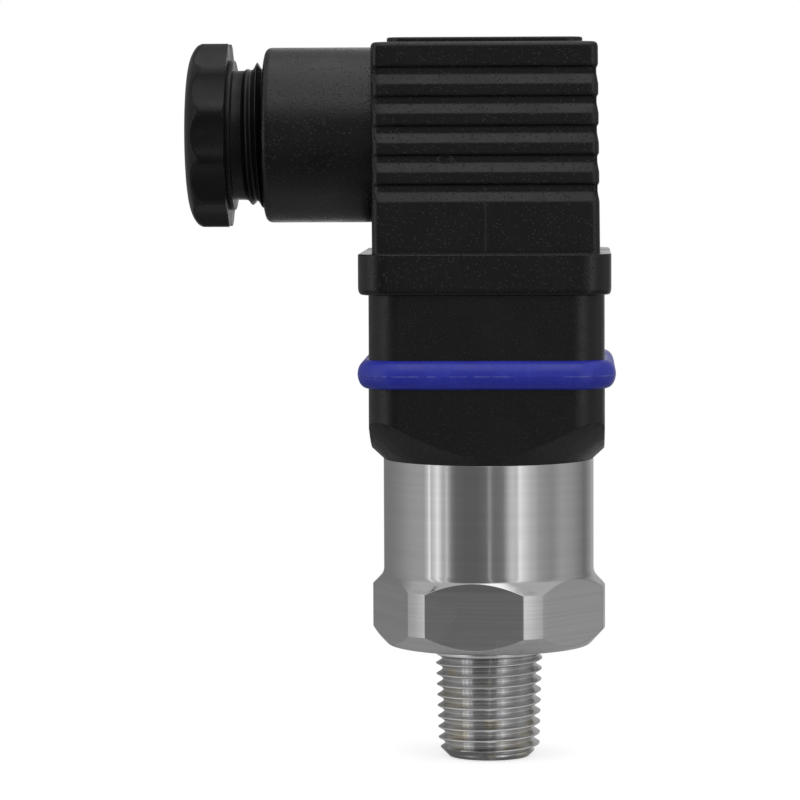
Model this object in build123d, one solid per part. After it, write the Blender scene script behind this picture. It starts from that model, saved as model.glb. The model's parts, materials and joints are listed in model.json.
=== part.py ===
from build123d import *
import math
import os

# Pressure transmitter with a right-angle plug, in millimetres. The origin is the centre of the
# thread's open end, +Z runs up the axis, the cable gland points along -X and the front faces -Y.

# Process thread, 1/4-18 NPT, as a tapered shank with a V groove for each turn of the thread
thread_length = 13.4
thread_end_radius = 6.42
thread_pitch = 1.411
thread_depth = 0.75
thread_crest_width = 0.22
thread_first_crest = 1.5
thread_radius_gain = 1 / 32
thread_end_face_radius = 5.15
neck_radius = 6.9
neck_length = 1.05
port_radius = 2.0
port_bevel = 0.4

# Hexagon and case, turned from one bar
hex_across_flats = 27.0
hex_height = 9.6
hex_corner_radius = 14.85
hex_face_radius = 12.9
hex_lower_bevel = 2.1
hex_upper_bevel = 1.75
hex_turn = -6.7
case_radius = 13.4
case_height = 14.25
case_wall = 1.6

# Pressure cell, its seal and its clamp ring
cell_floor = 4.1
cell_radius = 9.0
cell_height = 6.3
cell_play = 0.2
cell_edge = 0.3
cell_seal_radius = 7.2
cell_seal_section = 1.6
cell_seal_side_room = 0.6
clamp_ring_height = 2.0
clamp_ring_opening = 6.5
clamp_ring_slot_width = 2.2
clamp_ring_slot_depth = 1.0
lead_width = 0.6
lead_circle = 4.0
lead_count = 4

# Electronics
carrier_step = 0.3
carrier_height = 3.4
carrier_opening = 8.6
board_radius = 10.5
board_thickness = 1.6
board_notch = 1.2
chip_length = 6.0
chip_width = 5.0
chip_height = 1.2
chip_lead_count = 5
capacitor_length = 2.0
capacitor_width = 1.25
capacitor_height = 1.0
capacitor_circle = 5.8

# Connector base, pressed into the case
base_width = 29.5
base_corner = 4.0
base_height = 10.6
base_cone_angle = 42.8
base_floor = 5.0
spigot_wall = 1.95
base_seal_section = 1.3
base_seal_drop = 2.1
base_seal_side_room = 0.5
boss_radius = 4.0
boss_height = 4.0
insert_radius = 2.5
insert_length = 6.0
insert_groove = 0.3
screw_tip_room = 2.0

# Flat contacts
blade_width = 6.3
blade_thickness = 0.8
blade_height = 9.0
blade_circle = 9.0
blade_tip = 0.9
tail_width = 1.0

# Profile seal between the base and the plug
gasket_bulge = 1.4
gasket_width = base_width + 2 * gasket_bulge
gasket_height = 3.6
gasket_web = 1.5
gasket_edge = 1.15
gasket_lip_gap = 0.15
gasket_slot_room = 0.7
gasket_hole_room = 0.5

# Contact block
block_step = 0.05
block_width = base_width - block_step
block_corner = 4.0
block_height = 12.15
core_height = 4.5
boss_room = 0.3
boss_end_room = 0.4
mouth_depth = 2.0
mouth_room = 0.3
fork_room = 0.25
tine_thickness = 0.5
tine_width = 6.0
tine_length = 7.2
clamp_depth = 4.4
clamp_width = 6.8
clamp_height = 7.0
clamp_room = 0.1
clamp_rise = 0.2
clamp_set_in = 0.4
wire_hole_radius = 1.2
wire_hole_drop = 4.0
terminal_screw_radius = 1.45
terminal_screw_length = 6.0
terminal_head_radius = 2.6
terminal_head_height = 1.8
slot_width = 0.8
slot_depth = 0.8

# Plug housing
collar_wall = 1.025
collar_width = block_width + 2 * collar_wall
collar_corner = 3.5
collar_height = 5.1
collar_overlap = 3.0
collar_edge = 0.8
collar_offset = -0.2
housing_width = 28.3
housing_height = 26.25
housing_draft = 0.6
housing_corner = 0.7
housing_edge = 0.6
plate_width = 24.0
plate_height = 0.6
plate_corner = 2.0
plate_edge = 0.3
cavity_width = 24.2
cavity_depth = 24.0
cavity_corner = 2.0
roof_thickness = 2.4
pillar_radius = 3.5
pillar_head_radius = 4.8
pillar_head_height = 3.8
groove_count = 5
groove_pitch = 3.64
groove_top_drop = 2.9
groove_height = 2.35
groove_floor_height = 0.75
groove_roof_height = 0.35
groove_depth = 0.5
side_groove_depth = 0.22

# Cable gland
gland_drop = 11.5
tube_radius = 11.1
tube_reach = 28.2
tube_edge = 0.6
gland_bore_radius = 9.3
seat_wall = 1.6
cable_hole_radius = 6.25
grommet_length = 4.5
grommet_hole_radius = 4.5
grommet_bevel = 0.8
grommet_gap = 3.5
washer_thickness = 1.0
washer_hole_radius = 5.8
cable_bore_radius = 5.5
screw_play = 0.08
gland_head_gap = 3.92
gland_disc_radius = 9.5
gland_disc_thickness = 0.6
gland_neck_radius = 8.2
gland_neck_length = 1.2
gland_head_radius = 11.95
gland_head_length = 5.15
gland_head_round = 3.2
gland_head_dome = 2.3
gland_head_steps = 3
gland_head_back_bevel = 0.3
flute_count = 12
flute_depth = 0.75
flute_radius = 7.5
gland_mouth_bevel = 1.2

# Retaining screw and its seal
screw_radius = 1.45
screw_hole_radius = 1.8
screw_head_radius = 2.75
screw_head_height = 2.0
counterbore_radius = 3.3
counterbore_depth = 5.3
screw_seal_thickness = 1.0
screw_seal_radius = 2.8
screw_tip_gap = 0.5

# Small clearances of fitted pieces
fit_gap = 0.05
press_gap = 0.03

# Levels along the axis
hex_bottom = thread_length + neck_length
hex_top = hex_bottom + hex_height
case_top = hex_top + case_height
cell_bottom = hex_bottom + cell_floor
cell_top = cell_bottom + cell_height
clamp_ring_top = cell_top + clamp_ring_height
carrier_bottom = clamp_ring_top + carrier_step
board_bottom = carrier_bottom + carrier_height
board_top = board_bottom + board_thickness
base_top = case_top + base_height
base_roof = base_top - base_floor
boss_top = base_top + boss_height
insert_bottom = boss_top - insert_length
block_bottom = base_top + gasket_web
shoulder = block_bottom + block_height
core_top = shoulder + core_height
collar_bottom = shoulder - collar_overlap
collar_top = collar_bottom + collar_height
housing_top = collar_top + housing_height
plate_top = housing_top + plate_height
cavity_top = housing_top - roof_thickness
counterbore_floor = plate_top - counterbore_depth
screw_head_bottom = counterbore_floor + screw_seal_thickness
gland_level = housing_top - gland_drop

# Radii and stations that follow from the sizes above
case_bore = case_radius - case_wall
pocket_radius = cell_radius + cell_play
thread_root_radius = thread_end_radius + thread_length * thread_radius_gain
hollow_radius = case_bore - fit_gap - spigot_wall
grommet_inner = -cavity_width / 2 - seat_wall
grommet_outer = grommet_inner - grommet_length
washer_inner = grommet_outer - grommet_gap
gland_screw_inner = washer_inner - washer_thickness
gland_disc_inner = -tube_reach - gland_head_gap
gland_head_inner = gland_disc_inner - gland_disc_thickness
gland_head_outer = gland_head_inner - gland_head_length
gland_thread_radius = gland_bore_radius - screw_play
gland_axis = Axis((0, 0, gland_level), (1, 0, 0))
clamp_outer = blade_circle + blade_thickness / 2 + clamp_set_in + 1.0
clamp_centre = clamp_outer - clamp_depth / 2
clamp_bottom = core_top + clamp_rise - clamp_height
clamp_top = core_top + clamp_rise
contact_angles = (90, 0, 270)
earth_angle = 180


def turned(points):
    """Solid turned about the Z axis from (radius, height) points."""
    outline = Polyline(*[(radius, 0, height) for radius, height in points], close=True)
    return revolve(make_face(outline), Axis.Z)


def turned_on_gland(points):
    """Solid turned about the gland's axis from (x, radius) points."""
    outline = Polyline(*[(x, 0, gland_level + radius) for x, radius in points], close=True)
    return revolve(make_face(outline), gland_axis)


def ring(inner, outer, bottom, top):
    """Flat ring or bush about the Z axis."""
    return turned([(inner, bottom), (outer, bottom), (outer, top), (inner, top)])


def disc(radius, bottom, top):
    """Round bar about the Z axis."""
    return Pos(0, 0, bottom) * Cylinder(radius, top - bottom, align=(Align.CENTER, Align.CENTER, Align.MIN))


def rounded_block(width, depth, corner, bottom, top):
    """Upright block with rounded vertical corners, centred on the axis."""
    return extrude(Pos(0, 0, bottom) * RectangleRounded(width, depth, corner), top - bottom)


def radial_box(inner, outer, width, bottom, top):
    """Box standing across +X between two radii, centred in Y."""
    box = Box(outer - inner, width, top - bottom, align=(Align.MIN, Align.CENTER, Align.MIN))
    return Pos(inner, 0, bottom) * box


def turn(angle, shape):
    """The shape turned about the Z axis."""
    return Rot(0, 0, angle) * shape


def o_ring(centre_radius, section, height):
    """O-ring squeezed between the walls of its groove, so that its round section has flattened sides."""
    half = section / 2
    outline = [(half, -half / 2), (half, half / 2), (0, half), (-half, half / 2), (-half, -half / 2), (0, -half)]
    return turned([(centre_radius + across, height + along) for across, along in outline])


def threaded_flank():
    """Outline of the shank from its first crest to its last: a V groove between each two crests."""
    points = []
    crest = thread_first_crest
    while crest + thread_pitch <= thread_length:
        start, end = crest + thread_crest_width / 2, crest + thread_pitch - thread_crest_width / 2
        root = (start + end) / 2
        points.append((thread_end_radius + start * thread_radius_gain, start))
        points.append((thread_end_radius + root * thread_radius_gain - thread_depth, root))
        points.append((thread_end_radius + end * thread_radius_gain, end))
        crest += thread_pitch
    return points


def sensor_body():
    """Stainless body: grooved shank, neck, hexagon and case in one piece, with the cell's pocket."""
    bevel_end = (thread_end_radius - thread_end_face_radius) / (1 - thread_radius_gain)
    shank = turned([
        (0, 0),
        (thread_end_face_radius, 0),
        (thread_end_face_radius + bevel_end, bevel_end),
        *threaded_flank(),
        (thread_root_radius, thread_length),
        (neck_radius, thread_length),
        (neck_radius, hex_bottom),
        (0, hex_bottom),
    ])
    collar = turned([
        (0, hex_bottom),
        (hex_face_radius, hex_bottom),
        (hex_corner_radius, hex_bottom + hex_lower_bevel),
        (hex_corner_radius, hex_top - hex_upper_bevel),
        (case_radius, hex_top),
        (0, hex_top),
    ])
    hexagon = RegularPolygon(hex_across_flats / 2, 6, major_radius=False)
    collar = collar & turn(hex_turn, extrude(Pos(0, 0, hex_bottom) * hexagon, hex_height))
    body = shank + collar + disc(case_radius, hex_top, case_top)
    body -= disc(port_radius, 0, cell_bottom)
    body -= turned([(0, 0), (port_radius + port_bevel, 0), (0, port_radius + port_bevel)])
    groove_inner = cell_seal_radius - cell_seal_section / 2 - cell_seal_side_room / 2
    groove_outer = cell_seal_radius + cell_seal_section / 2 + cell_seal_side_room / 2
    body -= ring(groove_inner, groove_outer, cell_bottom - cell_seal_section, cell_bottom)
    body -= disc(pocket_radius, cell_bottom, carrier_bottom)
    body -= disc(case_bore, carrier_bottom, case_top)
    return body


def cell_seal():
    """O-ring that the pressure cell is pressed onto."""
    return o_ring(cell_seal_radius, cell_seal_section, cell_bottom - cell_seal_section / 2)


def pressure_cell():
    """Ceramic measuring cell with bevelled edges."""
    return turned([
        (0, cell_bottom),
        (cell_radius - cell_edge, cell_bottom),
        (cell_radius, cell_bottom + cell_edge),
        (cell_radius, cell_top - cell_edge),
        (cell_radius - cell_edge, cell_top),
        (0, cell_top),
    ])


def cell_clamp_ring():
    """Threaded ring that holds the cell down, with two slots for a key."""
    clamp = ring(clamp_ring_opening, pocket_radius - fit_gap, cell_top, clamp_ring_top)
    slot_bottom = clamp_ring_top - clamp_ring_slot_depth
    slot = Pos(0, 0, slot_bottom) * Box(
        2 * pocket_radius, clamp_ring_slot_width, clamp_ring_slot_depth,
        align=(Align.CENTER, Align.CENTER, Align.MIN),
    )
    return clamp - slot


def cell_lead_wires():
    """Square solder pins from the cell up to the board."""
    pin = radial_box(lead_circle - lead_width / 2, lead_circle + lead_width / 2, lead_width, cell_top, board_bottom)
    return [turn(45 + 360 / lead_count * index, pin) for index in range(lead_count)]


def board_carrier():
    """Moulded ring that carries the board on the step of the case."""
    return ring(carrier_opening, case_bore - fit_gap, carrier_bottom, board_bottom)


def signal_board():
    """Round circuit board with two locating notches."""
    board = disc(board_radius, board_bottom, board_top)
    notch = Pos(board_radius, 0, 0) * disc(board_notch, board_bottom, board_top)
    return board - turn(45, notch) - turn(225, notch)


def amplifier_chip():
    """Amplifier in a moulded package with a row of legs on each side."""
    chip = Pos(0, 0, board_top) * Box(
        chip_length, chip_width, chip_height, align=(Align.CENTER, Align.CENTER, Align.MIN))
    leg_pitch = chip_length / chip_lead_count
    for index in range(chip_lead_count):
        leg_x = (index - (chip_lead_count - 1) / 2) * leg_pitch
        chip += Pos(leg_x, 0, board_top) * Box(
            leg_pitch / 3, chip_width + 1.6, chip_height / 3, align=(Align.CENTER, Align.CENTER, Align.MIN))
    return chip


def board_capacitors():
    """Chip capacitors around the amplifier."""
    capacitor = Pos(capacitor_circle, 0, board_top) * Box(
        capacitor_width, capacitor_length, capacitor_height,
        align=(Align.CENTER, Align.CENTER, Align.MIN))
    return [turn(angle, capacitor) for angle in (45, 135, 225, 315)]


def contact_blade():
    """Flat contact on +X: the blade above the base, its root in the base and a tail to the board."""
    inner = blade_circle - blade_thickness / 2
    outer = blade_circle + blade_thickness / 2
    tip = base_top + blade_height
    blade = radial_box(inner, outer, blade_width, base_roof, tip)
    blade = chamfer(blade.edges().filter_by(Axis.X).group_by(Axis.Z)[-1], blade_tip)
    return blade + radial_box(inner, outer, tail_width, board_top, base_roof)


def blade_slot():
    """Slot in the base's floor around the contact on +X."""
    inner = blade_circle - blade_thickness / 2 - press_gap
    outer = blade_circle + blade_thickness / 2 + press_gap
    return radial_box(inner, outer, blade_width + 2 * press_gap, base_roof, base_top)


def connector_base():
    """Moulded base: spigot in the case, coned square body, and the boss for the retaining screw."""
    reach = base_width
    cone_top = case_top + (reach - case_radius) * math.tan(math.radians(base_cone_angle))
    cone = turned([
        (0, case_top), (case_radius, case_top), (reach, cone_top), (reach, cone_top + base_height),
        (0, cone_top + base_height),
    ])
    body = rounded_block(base_width, base_width, base_corner, case_top, base_top) & cone
    body += disc(case_bore - fit_gap, board_top, case_top)
    body += disc(boss_radius, base_top, boss_top)
    body -= disc(hollow_radius, board_top, base_roof)
    groove_floor = case_bore - base_seal_section
    groove_half = base_seal_section / 2 + base_seal_side_room / 2
    groove_level = case_top - base_seal_drop
    body -= ring(groove_floor, case_bore, groove_level - groove_half, groove_level + groove_half)
    body -= disc(insert_radius + press_gap, insert_bottom, boss_top)
    body -= disc(screw_hole_radius, insert_bottom - screw_tip_room, insert_bottom)
    for angle in contact_angles + (earth_angle,):
        body -= turn(angle, blade_slot())
    return body


def base_seal():
    """O-ring between the base's spigot and the case."""
    return o_ring(case_bore - base_seal_section / 2, base_seal_section, case_top - base_seal_drop)


def thread_insert():
    """Brass insert with two grooves, moulded into the boss."""
    groove_height = insert_length / 8
    points = [(screw_radius + fit_gap, insert_bottom), (insert_radius, insert_bottom)]
    for share in (0.45,):
        start = insert_bottom + share * insert_length
        points += [
            (insert_radius, start),
            (insert_radius - insert_groove, start),
            (insert_radius - insert_groove, start + groove_height),
            (insert_radius, start + groove_height),
        ]
    points += [(insert_radius, boss_top), (screw_radius + fit_gap, boss_top)]
    return turned(points)


def profile_gasket():
    """Moulded seal: a flat web between base and block, and a round bulge that laps both."""
    middle = base_top + gasket_web / 2
    bottom = middle - gasket_height / 2
    top = middle + gasket_height / 2
    corner = base_corner + (gasket_width - base_width) / 2
    seal = rounded_block(gasket_width, gasket_width, corner, bottom, top)
    rim = seal.edges().group_by(Axis.Z)
    seal = chamfer(rim[0] + rim[-1], gasket_edge)
    lower = base_width + 2 * gasket_lip_gap
    seal -= rounded_block(lower, lower, base_corner + gasket_lip_gap, bottom, base_top)
    upper = block_width + 2 * fit_gap
    seal -= rounded_block(upper, upper, block_corner + fit_gap, block_bottom, top)
    seal -= disc(boss_radius + gasket_hole_room, base_top, block_bottom)
    slot_half = blade_thickness / 2 + gasket_slot_room
    slot = radial_box(
        blade_circle - slot_half, blade_circle + slot_half,
        blade_width + 2 * gasket_slot_room, base_top, block_bottom)
    for angle in contact_angles + (earth_angle,):
        seal -= turn(angle, slot)
    return seal


def terminal_recess():
    """Room in the contact block for the clamp on +X: mouth, fork chamber and head pocket."""
    mouth_half = blade_thickness / 2 + mouth_room
    mouth = radial_box(
        blade_circle - mouth_half, blade_circle + mouth_half,
        blade_width + 2 * mouth_room, block_bottom, block_bottom + mouth_depth)
    fork_half = blade_thickness / 2 + fit_gap + tine_thickness + fork_room
    chamber = radial_box(
        blade_circle - fork_half, blade_circle + fork_half,
        blade_width + 2 * mouth_room, block_bottom + mouth_depth, clamp_bottom)
    pocket = radial_box(
        clamp_outer - clamp_depth - clamp_room, clamp_outer + clamp_room,
        clamp_width + 2 * clamp_room, clamp_bottom, core_top)
    return mouth + chamber + pocket


def contact_block():
    """Moulded block with the female contacts: square skirt, shoulder and core."""
    block = rounded_block(block_width, block_width, block_corner, block_bottom, shoulder)
    block += rounded_block(
        cavity_width - 4 * fit_gap, cavity_depth - 4 * fit_gap, cavity_corner, shoulder, core_top)
    block -= disc(boss_radius + boss_room, block_bottom, boss_top + boss_end_room)
    block -= disc(screw_hole_radius, boss_top + boss_end_room, core_top)
    for angle in contact_angles + (earth_angle,):
        block -= turn(angle, terminal_recess())
    return block


def terminal_clamp():
    """Clamp on +X: a head for wire and screw, and two tines that grip the blade."""
    clamp = radial_box(clamp_outer - clamp_depth, clamp_outer, clamp_width, clamp_bottom, clamp_top)
    gap = blade_thickness / 2 + fit_gap
    for side in (-1, 1):
        near = blade_circle + side * gap
        far = blade_circle + side * (gap + tine_thickness)
        clamp += radial_box(
            min(near, far), max(near, far), tine_width, clamp_bottom - tine_length, clamp_bottom)
    clamp -= Pos(clamp_centre, 0, 0) * disc(
        terminal_screw_radius + fit_gap, clamp_top - terminal_screw_length, clamp_top)
    wire_way = Rot(0, 90, 0) * Cylinder(
        wire_hole_radius, clamp_depth / 2, align=(Align.CENTER, Align.CENTER, Align.MIN))
    return clamp - Pos(clamp_centre - clamp_depth / 2, 0, clamp_top - wire_hole_drop) * wire_way


def terminal_screw():
    """Slotted clamp screw on +X."""
    head_top = clamp_top + terminal_head_height
    screw = disc(terminal_head_radius, clamp_top, head_top)
    screw += disc(terminal_screw_radius, clamp_top - terminal_screw_length + 3 * fit_gap, clamp_top)
    screw -= Pos(0, 0, head_top - slot_depth) * Box(
        2 * terminal_head_radius, slot_width, slot_depth, align=(Align.CENTER, Align.CENTER, Align.MIN))
    return Pos(clamp_centre, 0, 0) * screw


def groove_cutter(level, depth, length):
    """One finger groove cut from the face y = 0 towards +Y, along X: square roof, floor and ramp."""
    outside = -1.0
    outline = Polyline(
        (0, outside, level), (0, 0, level), (0, depth, level - groove_roof_height),
        (0, depth, level - groove_roof_height - groove_floor_height), (0, 0, level - groove_height),
        (0, outside, level - groove_height), close=True)
    return extrude(make_face(outline), length / 2, dir=(1, 0, 0), both=True)


def housing_shell():
    """Outside of the plug housing: collar, drafted block, raised plate and gland tube."""
    collar = rounded_block(collar_width, collar_width, collar_corner, collar_bottom, collar_top)
    collar = Pos(collar_offset, 0, 0) * chamfer(collar.edges().group_by(Axis.Z)[0], collar_edge)
    foot = Pos(0, 0, collar_top) * Rectangle(housing_width, housing_width)
    block = extrude(foot, housing_height, taper=housing_draft)
    upright = block.edges() - block.edges().group_by(Axis.Z)[0] - block.edges().group_by(Axis.Z)[-1]
    block = chamfer(upright, housing_corner)
    block = chamfer(block.edges().group_by(Axis.Z)[-1], housing_edge)
    plate = rounded_block(plate_width, plate_width, plate_corner, housing_top, plate_top)
    plate = chamfer(plate.edges().group_by(Axis.Z)[-1], plate_edge)
    tube = turned_on_gland([(-tube_reach, 0), (0, 0), (0, tube_radius), (-tube_reach, tube_radius)])
    tube = chamfer(tube.edges().group_by(Axis.X)[0], tube_edge)
    shell = collar + block + plate
    for index in range(groove_count):
        level = housing_top - groove_top_drop - index * groove_pitch
        inset = (level - groove_height / 2 - collar_top) * math.tan(math.radians(housing_draft))
        face = housing_width / 2 - inset
        front = Pos(0, -face, 0) * groove_cutter(level, groove_depth, 2 * housing_width)
        side = Pos(0, -face, 0) * groove_cutter(level, side_groove_depth, 2 * housing_width)
        shell = shell - front - turn(180, front) - turn(90, side)
    return shell + tube


def plug_housing():
    """Right-angle plug housing: hollow for the wiring, with the screw's pillar and the gland's bore."""
    housing = housing_shell()
    pocket = block_width + 2 * fit_gap
    housing -= rounded_block(pocket, pocket, block_corner + fit_gap, collar_bottom, shoulder)
    housing -= rounded_block(cavity_width, cavity_depth, cavity_corner, shoulder, cavity_top)
    housing += disc(pillar_radius, core_top, cavity_top)
    housing += disc(pillar_head_radius, cavity_top - pillar_head_height, cavity_top)
    housing -= disc(screw_hole_radius, core_top, counterbore_floor)
    housing -= disc(counterbore_radius, counterbore_floor, plate_top)
    housing -= turned_on_gland([
        (-tube_reach, 0), (grommet_inner, 0), (grommet_inner, gland_bore_radius),
        (-tube_reach, gland_bore_radius)])
    housing -= turned_on_gland([
        (grommet_inner, 0), (-cavity_width / 2, 0), (-cavity_width / 2, cable_hole_radius),
        (grommet_inner, cable_hole_radius)])
    return housing


def gland_seal():
    """Rubber grommet at the bottom of the gland's bore, bevelled towards the washer."""
    outer = gland_bore_radius - fit_gap
    return turned_on_gland([
        (grommet_inner, grommet_hole_radius), (grommet_inner, outer),
        (grommet_outer + grommet_bevel, outer), (grommet_outer, outer - grommet_bevel),
        (grommet_outer, grommet_hole_radius + grommet_bevel),
        (grommet_outer + grommet_bevel, grommet_hole_radius)])


def gland_washer():
    """Flat washer that the gland screw pushes along the bore."""
    return turned_on_gland([
        (gland_screw_inner, washer_hole_radius), (washer_inner, washer_hole_radius),
        (washer_inner, gland_thread_radius), (gland_screw_inner, gland_thread_radius)])


def gland_screw():
    """Hollow gland screw: fluted domed head, disc, neck and threaded shank as a plain bar."""
    profile = [
        (gland_head_outer, 0), (gland_head_inner, 0),
        (gland_head_inner, gland_head_radius - gland_head_back_bevel),
        (gland_head_inner - gland_head_back_bevel, gland_head_radius),
    ]
    for step in range(gland_head_steps + 1):
        angle = math.pi / 2 * step / gland_head_steps
        profile.append((
            gland_head_outer + gland_head_dome * (1 - math.sin(angle)),
            gland_head_radius - gland_head_round * (1 - math.cos(angle))))
    head = turned_on_gland(profile)
    cutter = turned_on_gland([
        (gland_head_outer, 0), (gland_head_inner, 0), (gland_head_inner, flute_radius),
        (gland_head_outer, flute_radius)])
    offset = gland_head_radius - flute_depth + flute_radius
    for index in range(flute_count):
        angle = math.radians(360 / flute_count * index)
        head -= Pos(0, offset * math.cos(angle), offset * math.sin(angle)) * cutter
    neck_inner = gland_disc_inner + gland_neck_length
    shank = turned_on_gland([
        (gland_head_inner, 0), (gland_screw_inner, 0), (gland_screw_inner, gland_thread_radius),
        (neck_inner, gland_thread_radius), (neck_inner, gland_neck_radius),
        (gland_disc_inner, gland_neck_radius), (gland_disc_inner, gland_disc_radius),
        (gland_head_inner, gland_disc_radius)])
    bore = turned_on_gland([
        (gland_head_outer, 0), (gland_screw_inner, 0), (gland_screw_inner, cable_bore_radius),
        (gland_head_outer + gland_mouth_bevel, cable_bore_radius),
        (gland_head_outer, cable_bore_radius + gland_mouth_bevel)])
    return head + shank - bore


def screw_seal():
    """Flat seal under the retaining screw's head."""
    return ring(screw_radius + fit_gap, screw_seal_radius, counterbore_floor, screw_head_bottom)


def retaining_screw():
    """Long slotted screw that pulls the plug onto the base."""
    head_top = screw_head_bottom + screw_head_height
    screw = disc(screw_head_radius, screw_head_bottom, head_top)
    screw += disc(screw_radius, insert_bottom - screw_tip_gap, screw_head_bottom)
    return screw - Pos(0, 0, head_top - slot_depth) * Box(
        2 * screw_head_radius, slot_width, slot_depth, align=(Align.CENTER, Align.CENTER, Align.MIN))


def save(name, shape):
    """Write one piece, or a group of like pieces, to its own file."""
    solids = shape if isinstance(shape, list) else [shape]
    export_step(Compound(children=[solid for item in solids for solid in item.solids()]), f"parts/{name}.step")


os.makedirs("parts", exist_ok=True)
for piece in (
    sensor_body, cell_seal, pressure_cell, cell_clamp_ring, cell_lead_wires, board_carrier,
    signal_board, amplifier_chip, board_capacitors, connector_base, base_seal, thread_insert,
    profile_gasket, contact_block, plug_housing, gland_seal, gland_washer, gland_screw,
    screw_seal, retaining_screw,
):
    save(piece.__name__, piece())
for number, contact_angle in enumerate(contact_angles, start=1):
    save(f"contact_blade_{number}", turn(contact_angle, contact_blade()))
    save(f"terminal_clamp_{number}", turn(contact_angle, terminal_clamp()))
    save(f"terminal_screw_{number}", turn(contact_angle, terminal_screw()))
save("earth_blade", turn(earth_angle, contact_blade()))
save("earth_clamp", turn(earth_angle, terminal_clamp()))
save("earth_screw", turn(earth_angle, terminal_screw()))
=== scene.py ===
# %% [markdown]
# # A pressure transmitter with a right-angle plug
#
# The object is a stainless steel body with a tapered male thread, a black moulded base, a blue
# silicone seal and a right-angle plug whose cable gland is partly unscrewed. The measured solids
# are loaded first as a fixed frame in metres. Everything made below is set against that frame, so
# no piece has to be fitted by eye.

# %% Load the frame
import json
import math
import bmesh
import bpy
import numpy as np
from mathutils import Matrix, Vector


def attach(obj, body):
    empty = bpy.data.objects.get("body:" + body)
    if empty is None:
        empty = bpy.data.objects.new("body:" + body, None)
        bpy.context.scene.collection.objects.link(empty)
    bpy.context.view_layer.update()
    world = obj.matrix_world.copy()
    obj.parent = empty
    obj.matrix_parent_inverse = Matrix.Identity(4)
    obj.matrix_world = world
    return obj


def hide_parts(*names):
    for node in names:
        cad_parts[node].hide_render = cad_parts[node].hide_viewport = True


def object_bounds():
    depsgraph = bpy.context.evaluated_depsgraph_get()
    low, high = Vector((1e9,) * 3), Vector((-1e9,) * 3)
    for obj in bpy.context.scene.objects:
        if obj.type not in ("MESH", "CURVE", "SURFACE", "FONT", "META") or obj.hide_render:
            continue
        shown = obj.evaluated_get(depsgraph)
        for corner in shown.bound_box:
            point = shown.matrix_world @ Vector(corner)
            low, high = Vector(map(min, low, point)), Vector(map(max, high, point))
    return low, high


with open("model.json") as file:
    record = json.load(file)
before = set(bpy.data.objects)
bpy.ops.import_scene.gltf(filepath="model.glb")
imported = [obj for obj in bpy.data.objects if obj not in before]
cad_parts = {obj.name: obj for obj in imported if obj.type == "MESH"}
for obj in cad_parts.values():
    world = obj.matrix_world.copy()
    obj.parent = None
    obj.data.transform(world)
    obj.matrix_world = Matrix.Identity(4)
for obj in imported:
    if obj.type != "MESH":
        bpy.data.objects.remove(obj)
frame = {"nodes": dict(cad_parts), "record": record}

scene = bpy.context.scene
cad_low, cad_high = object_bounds()
MM = 0.001
print("nodes", len(frame["nodes"]), "box mm", [round(v / MM, 2) for v in (*cad_low, *cad_high)])

# %% [markdown]
# ## The camera
#
# The photograph was taken from about half a metre with a long lens, a little to the right and a
# little above. A long lens keeps the rings and edges nearly straight. The camera could be aimed with
# a Track To constraint, but a matrix made from three angles also holds the slight roll of a
# hand-levelled tripod.

# %% Camera
view_azimuth, view_pitch, view_roll = (math.radians(a) for a in (2.45, 3.937, -0.228))
camera_place = Vector((10.251, -503.501, 80.282)) * MM
focal_pixels = 3955.058
frame_pixels = 800
ahead = Vector((-math.sin(view_azimuth) * math.cos(view_pitch),
                math.cos(view_azimuth) * math.cos(view_pitch), -math.sin(view_pitch)))
level_right = Vector((math.cos(view_azimuth), math.sin(view_azimuth), 0))
level_up = level_right.cross(ahead)
rolled_right = level_right * math.cos(view_roll) + level_up * math.sin(view_roll)
rolled_up = level_up * math.cos(view_roll) - level_right * math.sin(view_roll)
camera_data = bpy.data.cameras.new("camera")
camera_data.sensor_width = 36
camera_data.lens = focal_pixels / frame_pixels * camera_data.sensor_width
camera_data.clip_start = 0.01
camera = bpy.data.objects.new("camera", camera_data)
scene.collection.objects.link(camera)
stand = Matrix((rolled_right, rolled_up, -ahead)).transposed().to_4x4()
stand.translation = camera_place
camera.matrix_world = stand
scene.camera = camera
scene.view_settings.view_transform = "Standard"
print("lens", round(camera_data.lens, 1), "mm")

# %% [markdown]
# ## Helpers for node trees
#
# A node tree is easier to read when each node is made in one line with its values and its links.
# `wire` makes a node, sets its plain values and joins what is handed in as a socket. The others are
# the few sums that come back in every tree.

# %% Node helpers
def wire(tree, kind, settings=(), **inputs):
    """New node of this kind. Settings are node properties, inputs are socket names or numbers."""
    node = tree.nodes.new(kind)
    for key, value in dict(settings).items():
        setattr(node, key, value)
    for key, value in inputs.items():
        place = int(key[1:]) if key[0] == "i" and key[1:].isdigit() else key.replace("_", " ")
        if isinstance(value, bpy.types.NodeSocket):
            tree.links.new(value, node.inputs[place])
        else:
            node.inputs[place].default_value = value
    return node


def sums(tree, operation, *values, clamp=False):
    """Result socket of a Math node."""
    node = wire(tree, "ShaderNodeMath", {"operation": operation, "use_clamp": clamp},
                **{f"i{k}": v for k, v in enumerate(values)})
    return node.outputs[0]


def product(tree, *values):
    """Product socket of two or more values."""
    result = values[0]
    for value in values[1:]:
        result = sums(tree, "MULTIPLY", result, value)
    return result


def away_from(tree, value, centre):
    """Distance of a value from a centre."""
    return sums(tree, "ABSOLUTE", sums(tree, "SUBTRACT", value, centre))


def length(tree, vector):
    """Length of a vector socket."""
    return wire(tree, "ShaderNodeVectorMath", {"operation": "LENGTH"}, i0=vector).outputs["Value"]


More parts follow.
